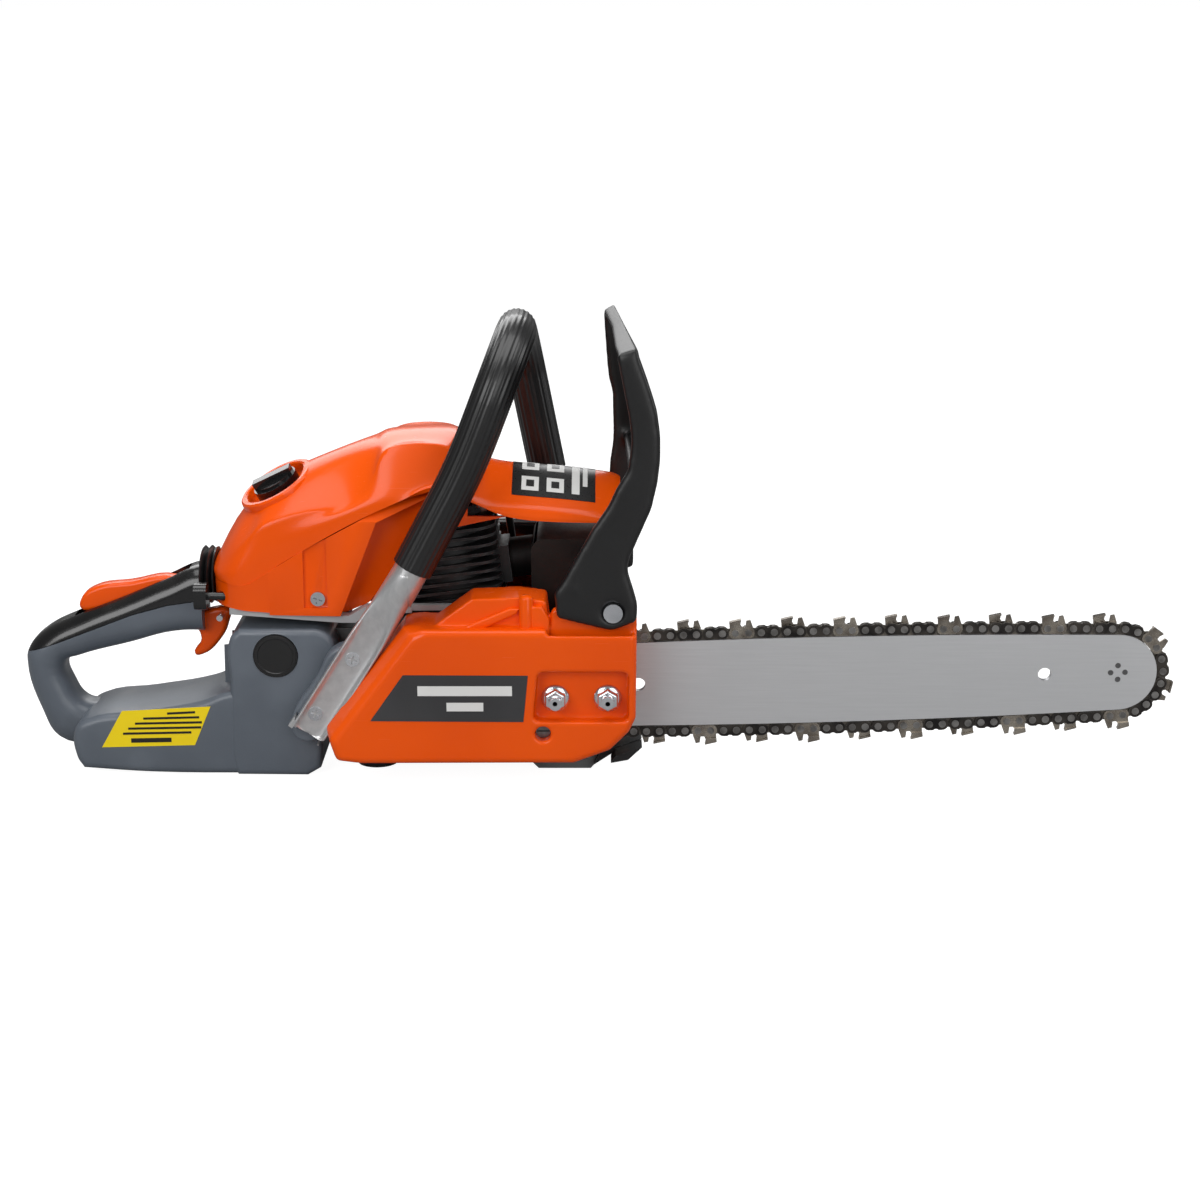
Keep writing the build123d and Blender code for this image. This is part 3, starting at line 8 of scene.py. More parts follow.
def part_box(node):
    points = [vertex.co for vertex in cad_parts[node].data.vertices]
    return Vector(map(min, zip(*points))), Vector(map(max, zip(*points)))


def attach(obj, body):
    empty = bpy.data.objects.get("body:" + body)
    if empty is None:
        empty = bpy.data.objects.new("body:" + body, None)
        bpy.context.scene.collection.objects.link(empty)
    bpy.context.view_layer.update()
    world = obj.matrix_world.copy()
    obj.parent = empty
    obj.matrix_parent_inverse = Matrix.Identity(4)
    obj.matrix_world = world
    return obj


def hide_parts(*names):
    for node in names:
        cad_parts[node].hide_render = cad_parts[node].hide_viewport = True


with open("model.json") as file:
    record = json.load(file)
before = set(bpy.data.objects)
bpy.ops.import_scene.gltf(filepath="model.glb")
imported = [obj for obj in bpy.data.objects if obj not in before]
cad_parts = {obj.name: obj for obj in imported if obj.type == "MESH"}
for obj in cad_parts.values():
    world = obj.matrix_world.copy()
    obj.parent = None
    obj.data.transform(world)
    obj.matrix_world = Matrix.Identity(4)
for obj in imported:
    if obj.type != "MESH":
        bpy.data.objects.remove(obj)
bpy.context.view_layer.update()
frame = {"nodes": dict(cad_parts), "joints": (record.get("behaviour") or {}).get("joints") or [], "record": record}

# ------------------------------------------------------------------ camera and studio
# The saw stands on a white studio floor and is seen square to its clutch side, from a little above.
# Drawing places are millimetres from the crank's axis, the bar's middle plane and the ground.
crank = next(joint for joint in frame["joints"] if joint["name"] == "crank_spin")
drawing_zero = Vector(crank["pos_m"]) - Vector((0, 0.048, 0.059))


def at(x, y, z):
    """A place of the drawing, in millimetres, as a place of the scene."""
    return drawing_zero + Vector((x, y, z)) / 1000


def lone(piece=None):
    """Leaves only this piece selected and active."""
    bpy.ops.object.select_all(action="DESELECT")
    if piece is not None:
        piece.select_set(True)
        bpy.context.view_layer.objects.active = piece


def paint(red, green, blue):
    """A paint chart's colour, 0 to 255, as light values."""
    return tuple(((c / 255 + 0.055) / 1.055) ** 2.4 for c in (red, green, blue)) + (1.0,)


bpy.ops.object.camera_add(location=at(90, -1448.9, 505.6), rotation=(math.radians(75), 0, 0))
camera = bpy.context.object
camera.name = "camera"
camera.data.lens = 70.9
camera.data.sensor_width = 36
bpy.context.scene.camera = camera
bpy.context.scene.view_settings.view_transform = "Standard"

studio = bpy.data.worlds.new("studio")
studio.use_nodes = True
bpy.context.scene.world = studio
backdrop = studio.node_tree.nodes["Background"]
seen = studio.node_tree.nodes.new("ShaderNodeLightPath")
dimmed = studio.node_tree.nodes.new("ShaderNodeMapRange")
dimmed.inputs["To Min"].default_value = 0.19
studio.node_tree.links.new(seen.outputs["Is Camera Ray"], dimmed.inputs["Value"])
studio.node_tree.links.new(dimmed.outputs["Result"], backdrop.inputs["Strength"])
backdrop.inputs["Color"].default_value = (1, 1, 1, 1)

soft_boxes = [
    ("overhead", (40, -150, 1300), (0, 0, 0), (1.5, 0.9), 13),
    ("front_left", (-900, -1500, 900), (62, 0, -32), (1.0, 1.0), 14),
    ("front_right", (900, -1600, 600), (70, 0, 32), (1.0, 1.2), 9),
    ("right", (1400, 200, 700), (60, 0, 95), (0.6, 1.0), 5),
    ("behind", (-300, 1200, 900), (-60, 0, 10), (1.2, 0.8), 8),
]
for name, place, turn, size, power in soft_boxes:
    bpy.ops.object.light_add(type="AREA", location=at(*place), rotation=[math.radians(a) for a in turn])
    lamp = bpy.context.object
    lamp.name = name + "_soft_box"
    lamp.data.shape = "RECTANGLE"
    lamp.data.size, lamp.data.size_y = size
    lamp.data.energy = power

bpy.ops.mesh.primitive_grid_add(x_subdivisions=8, y_subdivisions=8, size=60, location=at(0, 0, -0.2))
floor = bpy.context.object
floor.name = "studio_floor"
floor_paper = bpy.data.materials.new("floor_paper")
floor_paper.use_nodes = True
paper_nodes = floor_paper.node_tree
floor_shader = paper_nodes.nodes["Principled BSDF"]
floor_shader.inputs["Base Color"].default_value = (0.3, 0.3, 0.3, 1)
floor_shader.inputs["Roughness"].default_value = 0.9
floor_shader.inputs["Specular IOR Level"].default_value = 0.1
floor_shader.inputs["Emission Color"].default_value = (1, 1, 1, 1)
looked_at = paper_nodes.nodes.new("ShaderNodeLightPath")
glow = paper_nodes.nodes.new("ShaderNodeMath")
glow.operation = "MULTIPLY"
glow.inputs[1].default_value = 0.95
paper_nodes.links.new(looked_at.outputs["Is Camera Ray"], glow.inputs[0])
paper_nodes.links.new(glow.outputs[0], floor_shader.inputs["Emission Strength"])
floor.data.materials.append(floor_paper)


# -------------------------------------------------- crankcase, flywheel, piston and carburettor
# Die castings of aluminium, bead blasted and left bare. The group of nodes made here gives them, and every
# other finish of the saw, its patches of tone, fine grain, lighter edges (rubbed edges, and also a painted
# highlight along rims), settled dust and hairline scratches.
def surface_marks():
    """Node group: tone, grain, edge, dust and scratch masks, each 0 to 1; the edge mask marks rubbed edges and a
    painted rim highlight.
    """
    marks = bpy.data.node_groups.new("surface_marks", "ShaderNodeTree")
    sockets = marks.interface.new_socket
    for name, value in (("Patch Scale", 18), ("Grain Scale", 900), ("Edge Width", 0.0008)):
        socket = sockets(name=name, in_out="INPUT", socket_type="NodeSocketFloat")
        socket.default_value = value
    sockets(name="Grain Place", in_out="INPUT", socket_type="NodeSocketVector")
    for name in ("Patch", "Grain", "Edge", "Dust", "Scratch"):
        sockets(name=name, in_out="OUTPUT", socket_type="NodeSocketFloat")
    add, join = marks.nodes.new, marks.links.new
    given, made = add("NodeGroupInput"), add("NodeGroupOutput")
    place, shape = add("ShaderNodeTexCoord"), add("ShaderNodeNewGeometry")

    def noise(scale, detail, where):
        texture = add("ShaderNodeTexNoise")
        texture.inputs["Detail"].default_value = detail
        join(where, texture.inputs["Vector"])
        if isinstance(scale, (int, float)):
            texture.inputs["Scale"].default_value = scale
        else:
            join(scale, texture.inputs["Scale"])
        return texture.outputs["Fac"]

    def remap(value, low, high):
        limits = add("ShaderNodeMapRange")
        limits.interpolation_type = "SMOOTHSTEP"
        limits.inputs["From Min"].default_value = low
        limits.inputs["From Max"].default_value = high
        join(value, limits.inputs["Value"])
        return limits.outputs["Result"]

    def sums(kind, a, b):
        step = add("ShaderNodeMath")
        step.operation = kind
        for value, socket in ((a, step.inputs[0]), (b, step.inputs[1])):
            if isinstance(value, (int, float)):
                socket.default_value = value
            else:
                join(value, socket)
        return step.outputs[0]

    join(remap(noise(given.outputs["Patch Scale"], 3, place.outputs["Object"]), 0.3, 0.7),
         made.inputs["Patch"])
    join(noise(given.outputs["Grain Scale"], 2, given.outputs["Grain Place"]), made.inputs["Grain"])
    rounded = add("ShaderNodeBevel")
    rounded.samples = 4
    join(given.outputs["Edge Width"], rounded.inputs["Radius"])
    turn = add("ShaderNodeVectorMath")
    turn.operation = "DOT_PRODUCT"
    join(rounded.outputs["Normal"], turn.inputs[0])
    join(shape.outputs["Normal"], turn.inputs[1])
    edge = remap(sums("SUBTRACT", 1.0, turn.outputs["Value"]), 0.02, 0.2)
    # Edge mask: where edges get a lighter colour, for rubbing and for a painted highlight along rims.
    join(sums("MULTIPLY", edge, remap(noise(260, 4, place.outputs["Object"]), 0.35, 0.65)),
         made.inputs["Edge"])
    facing = add("ShaderNodeSeparateXYZ")
    join(shape.outputs["Normal"], facing.inputs[0])
    settled = remap(facing.outputs["Z"], 0.2, 0.95)
    join(sums("MULTIPLY", settled, remap(noise(45, 6, place.outputs["Object"]), 0.45, 0.75)),
         made.inputs["Dust"])
    long_way = add("ShaderNodeMapping")
    long_way.inputs["Rotation"].default_value = (0.3, 0.5, 0.2)
    long_way.inputs["Scale"].default_value = (12, 900, 900)
    join(place.outputs["Object"], long_way.inputs["Vector"])
    hairs = remap(noise(1.0, 2, long_way.outputs["Vector"]), 0.66, 0.74)
    join(sums("MULTIPLY", hairs, remap(noise(60, 2, place.outputs["Object"]), 0.5, 0.6)),
         made.inputs["Scratch"])
    return marks


marks_group = surface_marks()


def blend_colour(tree, share, first, second):
    """A Mix node from one colour towards another, by a mask."""
    mix = tree.nodes.new("ShaderNodeMix")
    mix.data_type = "RGBA"
    for value, socket in ((share, mix.inputs[0]), (first, mix.inputs[6]), (second, mix.inputs[7])):
        if isinstance(value, bpy.types.NodeSocket):
            tree.links.new(value, socket)
        else:
            socket.default_value = value
    return mix.outputs[2]


def scaled(tree, value, low, high):
    """A mask from 0 to 1 as a value from low to high."""
    limits = tree.nodes.new("ShaderNodeMapRange")
    limits.inputs["To Min"].default_value = low
    limits.inputs["To Max"].default_value = high
    tree.links.new(value, limits.inputs["Value"])
    return limits.outputs["Result"]


def finish(name, light, dark, rough, metal=0.0, grain=900, along=(1, 1, 1), bump=0.05, depth=0.0002,
           rubbed_and_highlit_edge=None, rubbed_and_highlit_share=0.0, dust=0.12, coat=0.0, patch=18, streak=0.0):
    """A material: two tones in patches, lighter edges (rubbed, and a painted highlight), dust, and grain in its
    colour, gloss and relief.
    """
    made = bpy.data.materials.new(name)
    made.use_nodes = True
    tree = made.node_tree
    shader = tree.nodes["Principled BSDF"]
    place, turned = tree.nodes.new("ShaderNodeTexCoord"), tree.nodes.new("ShaderNodeMapping")
    turned.inputs["Scale"].default_value = along
    tree.links.new(place.outputs["Object"], turned.inputs["Vector"])
    marks = tree.nodes.new("ShaderNodeGroup")
    marks.node_tree = marks_group
    marks.inputs["Patch Scale"].default_value = patch
    marks.inputs["Grain Scale"].default_value = grain
    tree.links.new(turned.outputs["Vector"], marks.inputs["Grain Place"])
    out = marks.outputs
    colour = blend_colour(tree, out["Patch"], paint(*light), paint(*dark))
    if streak:
        shade = tuple(c * (1 - streak) for c in paint(*dark)[:3]) + (1.0,)
        colour = blend_colour(tree, out["Grain"], colour, shade)
    # Lighter colour along edges: partly rubbed edges, partly a painted highlight that sharpens the rims.
    if rubbed_and_highlit_edge:
        colour = blend_colour(tree, scaled(tree, out["Edge"], 0, rubbed_and_highlit_share), colour, paint(*rubbed_and_highlit_edge))
    colour = blend_colour(tree, scaled(tree, out["Dust"], 0, dust), colour, paint(188, 180, 168))
    tree.links.new(colour, shader.inputs["Base Color"])
    gloss = tree.nodes.new("ShaderNodeMath")
    gloss.operation = "ADD"
    tree.links.new(scaled(tree, out["Grain"], rough[0], rough[1]), gloss.inputs[0])
    tree.links.new(scaled(tree, out["Scratch"], 0, 0.12), gloss.inputs[1])
    tree.links.new(gloss.outputs[0], shader.inputs["Roughness"])
    shader.inputs["Metallic"].default_value = metal
    shader.inputs["Coat Weight"].default_value = coat
    shader.inputs["Coat Roughness"].default_value = 0.08
    relief = tree.nodes.new("ShaderNodeBump")
    relief.inputs["Strength"].default_value = bump
    relief.inputs["Distance"].default_value = depth
    tree.links.new(out["Grain"], relief.inputs["Height"])
    tree.links.new(relief.outputs["Normal"], shader.inputs["Normal"])
    return made


def clad(node, material):
    """Gives a CAD node its finish."""
    piece = frame["nodes"][node]
    for place in piece.material_slots:
        place.link = "OBJECT"
        place.material = material


def clad_all(slot, material):
    """Gives every CAD node of a slot its finish."""
    for part in frame["record"]["subparts"]:
        if part["material_slot"] == slot:
            clad(part["node"], material)


cast_alloy = finish("bead_blasted_die_casting", (150, 152, 152), (116, 118, 119), (0.42, 0.62), metal=0.85,
                    grain=1600, bump=0.25, depth=0.0002, rubbed_and_highlit_edge=(200, 202, 204), rubbed_and_highlit_share=0.5)
clad_all("cast_alloy", cast_alloy)

# ------------------------------------------------------------------ cylinder and chain catcher
# Castings painted black: the finned cylinder sheds its heat under the hood, and the catcher hangs below the
# cover.
black_alloy = finish("black_painted_casting", (30, 31, 33), (17, 17, 18), (0.38, 0.6), grain=1400, bump=0.3,
                     depth=0.0002, rubbed_and_highlit_edge=(110, 112, 116), rubbed_and_highlit_share=0.55)
clad_all("black_alloy", black_alloy)

# ------------------------------------------------------------------ crank train, clutch and muffler
# Turned and ground steel that runs in oil, held by press fits. The muffler is folded steel sheet, burnt
# dark by the exhaust and bolted to the cylinder.
plain_steel = finish("turned_steel", (150, 150, 150), (112, 112, 113), (0.25, 0.42), metal=1.0, grain=500,
                     along=(1, 8, 1), bump=0.08, rubbed_and_highlit_edge=(205, 205, 205), rubbed_and_highlit_share=0.4, streak=0.25)
clad_all("steel", plain_steel)
burnt_steel = finish("burnt_muffler_steel", (52, 48, 46), (30, 28, 28), (0.45, 0.7), metal=0.8, grain=900,
                     bump=0.2,
                     rubbed_and_highlit_edge=(96, 90, 84), rubbed_and_highlit_share=0.5, patch=30)
clad("muffler", burnt_steel)

# ------------------------------------------------------------------ studs, nuts, pins and screws
# Cold-headed steel with bright zinc plate, driven into the castings and through the mouldings.
zinc_steel = finish("bright_zinc_plate", (226, 228, 232), (196, 199, 204), (0.14, 0.26), metal=0.95,
                    grain=700,
                    bump=0.04, rubbed_and_highlit_edge=(240, 241, 243), rubbed_and_highlit_share=0.2, dust=0.02, patch=40)
clad_all("zinc_steel", zinc_steel)

# ------------------------------------------------------------------ knobs, caps, coil, lead and mounts
# Black nylon for what a hand turns or pulls, black rubber for what bends or seals, and a pale moulded plate
# below the hood. All are pressed or screwed in place.
black_plastic = finish("black_glossy_nylon", (16, 16, 17), (9, 9, 10), (0.2, 0.3), grain=1300, bump=0.06,
                       depth=0.0001, rubbed_and_highlit_edge=(50, 51, 54), rubbed_and_highlit_share=0.25, coat=0.35, dust=0.02)
clad_all("black_plastic", black_plastic)
black_rubber = finish("black_rubber", (18, 18, 19), (11, 11, 12), (0.28, 0.42), grain=1500, bump=0.1,
                      depth=0.00012, rubbed_and_highlit_edge=(48, 48, 50), rubbed_and_highlit_share=0.3, coat=0.15, dust=0.02)
clad_all("black_rubber", black_rubber)
pale_plastic = finish("pale_moulded_plate", (176, 178, 180), (150, 152, 154), (0.3, 0.45), grain=900,
                      bump=0.1)
clad_all("pale_plastic", pale_plastic)

# ------------------------------------------------------------------ spark plug and air filter
# The plug has a glazed ceramic body. The filter is a thick felt pad, pushed over the carburettor's mouth.
ceramic = finish("white_glazed_ceramic", (232, 230, 224), (218, 214, 206), (0.12, 0.22), grain=500, bump=0.03)
clad("spark_plug", ceramic)
felt = finish("filter_felt", (206, 198, 180), (182, 172, 150), (0.85, 0.98), grain=2400, bump=0.6,
              depth=0.0006)
clad("air_filter", felt)

# ------------------------------------------------------------------ guide bar and chain
# The bar is three laminations of spring steel, ground flat along its length and rivetted at the nose.
# The chain is blued steel: dark links, chromed cutters and bright peened rivet heads.
bar_steel = finish("ground_bar_steel", (218, 218, 220), (203, 204, 206), (0.32, 0.42), metal=0.6, grain=420,
                   along=(0.06, 1, 1.6), bump=0.03, rubbed_and_highlit_edge=(225, 225, 226), rubbed_and_highlit_share=0.4, patch=5, dust=0.02,
                   streak=0.1)
clad("guide_bar", bar_steel)
link_steel = finish("blued_link_steel", (74, 70, 66), (40, 38, 38), (0.3, 0.5), metal=0.9, grain=600,
                    bump=0.1,
                    rubbed_and_highlit_edge=(150, 146, 140), rubbed_and_highlit_share=0.7, patch=90)
bright_rivets = finish("peened_rivet_steel", (150, 148, 146), (104, 102, 100), (0.25, 0.4), metal=1.0,
                       patch=120, rubbed_and_highlit_edge=(205, 203, 200), rubbed_and_highlit_share=0.4)
drive_steel = finish("oiled_drive_link_steel", (118, 112, 104), (76, 72, 68), (0.25, 0.42), metal=0.95,
                     grain=600,
                     bump=0.08, rubbed_and_highlit_edge=(190, 186, 178), rubbed_and_highlit_share=0.5, patch=110)
chrome = finish("chromed_cutter_steel", (176, 168, 156), (120, 112, 104), (0.18, 0.34), metal=1.0, grain=500,
                bump=0.06, rubbed_and_highlit_edge=(225, 222, 216), rubbed_and_highlit_share=0.5, patch=80)
clad("tie_straps", link_steel)
clad("drive_links", drive_steel)
clad("chain_rivets", bright_rivets)
clad("cutters_right", chrome)
clad("cutters_left", chrome)

# ------------------------------------------------------------------ hood
# The filter cover and the top cover are thin glossy mouldings over the cylinder and the carburettor.
# Both are crowned, with a soft crease along each side; the cover is clamped down by one knob.
orange_plastic = finish("orange_gloss_moulding", (240, 86, 0), (232, 80, 0), (0.2, 0.28), grain=900,
                        bump=0.05,
                        depth=0.0001, rubbed_and_highlit_edge=(250, 120, 40), rubbed_and_highlit_share=0.06, coat=0.12, patch=9, dust=0.002)
orange_plastic.node_tree.nodes["Principled BSDF"].inputs["Specular IOR Level"].default_value = 0.22
clad_all("orange_plastic", orange_plastic)


def dress(piece, material, body):
    """One material on a new piece, which then moves with its body."""
    piece.data.materials.clear()
    piece.data.materials.append(material)
    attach(piece, body)


def rounded_copy(node, name, material, body, width, segments=3, angle=28):
    """A copy of a node's shape with one skin and rounded edges, which stands for the node."""
    source = frame["nodes"][node]
    piece = bpy.data.objects.new(name, source.data.copy())
    bpy.context.scene.collection.objects.link(piece)
    lone(piece)
    bpy.ops.object.mode_set(mode="EDIT")
    bpy.ops.mesh.select_all(action="SELECT")
    bpy.ops.mesh.remove_doubles(threshold=2e-6)
    bpy.ops.mesh.dissolve_limited(angle_limit=math.radians(0.6))
    bpy.ops.object.mode_set(mode="OBJECT")
    softer = piece.modifiers.new("softer_edges", "BEVEL")
    softer.width = width / 1000
    softer.segments = segments
    softer.limit_method = "ANGLE"
    softer.angle_limit = math.radians(angle)
    softer.miter_outer = "MITER_ARC"
    bpy.ops.object.modifier_apply(modifier=softer.name)
    bpy.ops.object.shade_smooth_by_angle(angle=math.radians(38))
    dress(piece, material, body)
    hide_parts(node)
    return piece


def drawn_through(rows):
    """Places for a sheet's corners whose smoothed skin passes through the drawn ones."""
    deep, wide = len(rows), len(rows[0])
    aim = [[Vector(place) for place in row] for row in rows]
    held = [[place.copy() for place in row] for row in aim]
    folded = {
        "low": all(abs(place[1] - 48) < 0.01 for place in rows[0]),
        "high": all(abs(p[1] - 48) < 0.01 for p in rows[-1]),
        "left": all(abs(row[0][1] - 48) < 0.01 for row in rows),
        "right": all(abs(row[-1][1] - 48) < 0.01 for row in rows),
    }

    def neighbour(i, j):
        over = False
        if i < 0 or i >= deep:
            i, over = (-i, not over) if i < 0 else (2 * (deep - 1) - i, not over)
        if j < 0 or j >= wide:
            j, over = (-j, not over) if j < 0 else (2 * (wide - 1) - j, not over)
        place = held[i][j]
        return Vector((place.x, 96 - place.y, place.z)) if over else place

    for _ in range(10):
        pushed = []
        for i in range(deep):
            for j in range(wide):
                rim_i = (i == 0 and not folded["low"]) or (i == deep - 1 and not folded["high"])
                rim_j = (j == 0 and not folded["left"]) or (j == wide - 1 and not folded["right"])
                if rim_i and rim_j:
                    continue
                if rim_i:
                    smooth = (neighbour(i, j - 1) + held[i][j] * 4 + neighbour(i, j + 1)) / 6
                elif rim_j:
                    smooth = (neighbour(i - 1, j) + held[i][j] * 4 + neighbour(i + 1, j)) / 6
                else:
                    sides = neighbour(i - 1, j) + neighbour(i + 1, j) + neighbour(i, j - 1) + neighbour(i,
                                                                                                        j + 1)
                    corners = (neighbour(i - 1, j - 1) + neighbour(i - 1, j + 1) + neighbour(i + 1, j - 1)
                               + neighbour(i + 1, j + 1))
                    smooth = (held[i][j] * 16 + sides * 4 + corners) / 36
                pushed.append((i, j, aim[i][j] - smooth))
        for i, j, step in pushed:
            held[i][j] = held[i][j] + step * 0.8
    return held


def skin(name, rows, creases, wall=2.5):
    """A crowned thin wall: squares pulled onto drawn rows, mirrored, smoothed and given a thickness."""
    rows = drawn_through(rows)
    deep, wide = len(rows) - 1, len(rows[0]) - 1
    lone()
    bpy.ops.mesh.primitive_grid_add(x_subdivisions=wide, y_subdivisions=deep, size=1, location=at(0, 48, 0))
    piece = bpy.context.object
    piece.name = name
    row_of = {}
    for vertex in piece.data.vertices:
        column, row = round((vertex.co.x + 0.5) * wide), round((vertex.co.y + 0.5) * deep)
        x, y, z = rows[row][column]
        row_of[vertex.index] = row
        vertex.co = Vector((x, y - 48, z)) / 1000
    sharp = piece.data.attributes.new("crease_edge", "FLOAT", "EDGE")
    for edge in piece.data.edges:
        first, last = (row_of[v] for v in edge.vertices)
        if first == last and first in creases:
            sharp.data[edge.index].value = creases[first]
    other_half = piece.modifiers.new("other_half", "MIRROR")
    other_half.use_axis = (False, True, False)
    other_half.merge_threshold = 0.0005
    smooth = piece.modifiers.new("smooth", "SUBSURF")
    smooth.levels = smooth.render_levels = 3
    smooth.boundary_smooth = "PRESERVE_CORNERS"
    for step in (other_half.name, smooth.name):
        bpy.ops.object.modifier_apply(modifier=step)
    bpy.ops.object.transform_apply(location=True)
    bpy.ops.object.mode_set(mode="EDIT")
    bpy.ops.mesh.select_all(action="SELECT")
    bpy.ops.mesh.remove_doubles(threshold=1e-6)
    bpy.ops.mesh.normals_make_consistent(inside=False)
    bpy.ops.object.mode_set(mode="OBJECT")
    if piece.data.polygons[0].normal.dot(piece.data.polygons[0].center - at(-40, 48, 120)) < 0:
        piece.data.flip_normals()
    thick = piece.modifiers.new("wall", "SOLIDIFY")
    thick.thickness = wall / 1000
    thick.offset = -1
    bpy.ops.object.modifier_apply(modifier=thick.name)
    bpy.ops.object.shade_smooth_by_angle(angle=math.radians(40))
    return piece


def cut_with(piece, tool, how="DIFFERENCE"):
    """Cuts a piece with a tool shape, and throws the tool away."""
    lone(piece)
    cut = piece.modifiers.new("cut", "BOOLEAN")
    cut.operation = how
    cut.object = tool
    cut.solver = "EXACT"
    bpy.ops.object.modifier_apply(modifier=cut.name)
    bpy.data.objects.remove(tool)


def turned(name, profile, axis_at, axis, steps=48):
    """A shape turned on a lathe: pairs of radius and height in millimetres, about an axis."""
    lone()
    bpy.ops.mesh.primitive_circle_add(vertices=steps, radius=profile[0][0] / 1000,
                                      location=(0, 0, profile[0][1] / 1000))
    piece = bpy.context.object
    piece.name = name
    bpy.ops.object.mode_set(mode="EDIT")
    bpy.ops.mesh.select_all(action="SELECT")
    if profile[0][0] > 0.02:
        bpy.ops.mesh.edge_face_add()
        bpy.ops.mesh.select_all(action="SELECT")
    for (r0, z0), (r1, z1) in zip(profile, profile[1:]):
        bpy.ops.mesh.extrude_region_move(TRANSFORM_OT_translate={"value": (0, 0, (z1 - z0) / 1000)})
        bpy.ops.transform.resize(value=(r1 / r0, r1 / r0, 1), center_override=(0, 0, z1 / 1000))
    bpy.ops.mesh.select_all(action="SELECT")
    bpy.ops.mesh.normals_make_consistent(inside=False)
    bpy.ops.object.mode_set(mode="OBJECT")
    bpy.ops.object.transform_apply(location=True)
    turn = Vector(axis).to_track_quat("Z", "Y").to_matrix().to_4x4()
    piece.matrix_world = Matrix.Translation(at(*axis_at)) @ turn
    bpy.ops.object.transform_apply(location=True, rotation=True)
    return piece


cover_rows = [
    [(-159.5, 48, 127), (-157, 22, 127), (-147, 5, 127), (-134, 1, 127), (-117, 0.5, 137.5), (-100, 0.5, 148),
     (-75, 0.5, 162.3), (-50, 0.5, 175), (-33, 0.5, 182.7), (-17, 0.5, 190), (-2, 0.5, 190), (6, 0.5, 188)],
    [(-159.8, 48, 131), (-157.5, 23, 132), (-146.5, 6, 134.5), (-133, 2, 142), (-118, 1.5, 152),
     (-97, 1.5, 163),
     (-72, 1.5, 173), (-49, 2, 184), (-36, 3, 190), (-14, 4, 195), (0, 4, 194), (9, 4, 190)],
    [(-157.5, 48, 138), (-155, 26, 139), (-144, 10, 145), (-131, 6, 157), (-119, 6, 167), (-94, 7, 176),
     (-69, 8, 182.5), (-51.8, 9, 196), (-40.8, 11, 209.5), (-10.6, 11, 211.5), (0, 11, 205), (11, 11, 193)],
    [(-150.5, 48, 152), (-148, 30, 152), (-140, 20, 158), (-130, 20, 168), (-118, 24, 181), (-97, 25, 190.5),
     (-69, 26, 202), (-52, 24, 210.5), (-41, 24, 215.5), (-9, 24, 217), (1, 24, 211), (13, 24, 199)],
    [(-146, 48, 159), (-141.5, 48, 166), (-134, 48, 175), (-127, 48, 182), (-117, 48, 188.5),
     (-99.5, 48, 197),
     (-68, 48, 209.5), (-52, 48, 215), (-41, 48, 218.3), (-7, 48, 219.3), (3, 48, 213.5), (16, 48, 201)],
]
filter_cover = skin("filter_cover_shell", cover_rows, {1: 0.25, 2: 0.55, 3: 0.2, 0: 1.0})
knob = next(joint for joint in frame["joints"] if joint["name"] == "knob_turn")
knob_axis = Vector(knob["axis"])
knob_middle = Vector(knob["pos_m"]) - drawing_zero
knob_place = tuple(1000 * c for c in knob_middle)
cut_with(filter_cover, turned("knob_hole", [(21, -14), (21, 14)], knob_place, knob_axis))
dress(filter_cover, orange_plastic, "saw")
bpy.ops.object.shade_smooth_by_angle(angle=math.radians(40))
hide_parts("filter_cover")
ring_profile = [(17.0, -12), (20.9, -12), (25.6, -9), (26.2, -1), (25.8, 0.8), (24.6, 1.8), (22.4, 1.8),
                (21.4, 1.0),
                (20.9, -4.4), (20.4, -5), (17.0, -5)]
knob_seat = turned("knob_seat", ring_profile, knob_place, knob_axis)
bpy.ops.object.shade_smooth_by_angle(angle=math.radians(35))
dress(knob_seat, orange_plastic, "saw")
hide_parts("filter_cover")

skirt = rounded_copy("top_cover", "top_cover_skirt", orange_plastic, "saw", 1.2, angle=9)
for middle, size in (((60, 48, 202), (108, 120, 66)), ((-152, 48, 110), (64, 120, 80)),
                     ((20, 93, 168), (44, 14, 9))):
    lone()
    bpy.ops.mesh.primitive_cube_add(size=1, location=at(*middle), scale=[s / 1000 for s in size])
    cut_with(skirt, bpy.context.object)
skirt_plan = [(-119.5, 0.2, 108.8), (-127, 0.2, 109.4), (-136, 0.8, 110), (-146, 5, 111), (-154, 15, 111.3),
              (-158.5, 30, 111.5), (-159.7, 48, 111.6)]
skirt_rows = [[(x, y, z) for x, y, z in skirt_plan], [(x, y, 117) for x, y, z in skirt_plan],
              [(x, y, 122) for x, y, z in skirt_plan],
              [(x, y, 136 if x > -120 else 131 if x > -128 else 126.6) for x, y, z in skirt_plan]]
skirt_rear = skin("top_cover_rear", skirt_rows, {0: 1.0, 3: 1.0})
cut_with(skirt_rear, turned("choke_hole", [(3.4, -20), (3.4, 20)], (-150, 11, 117), (1, 0, 0)))
dress(skirt_rear, orange_plastic, "saw")
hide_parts("top_cover")

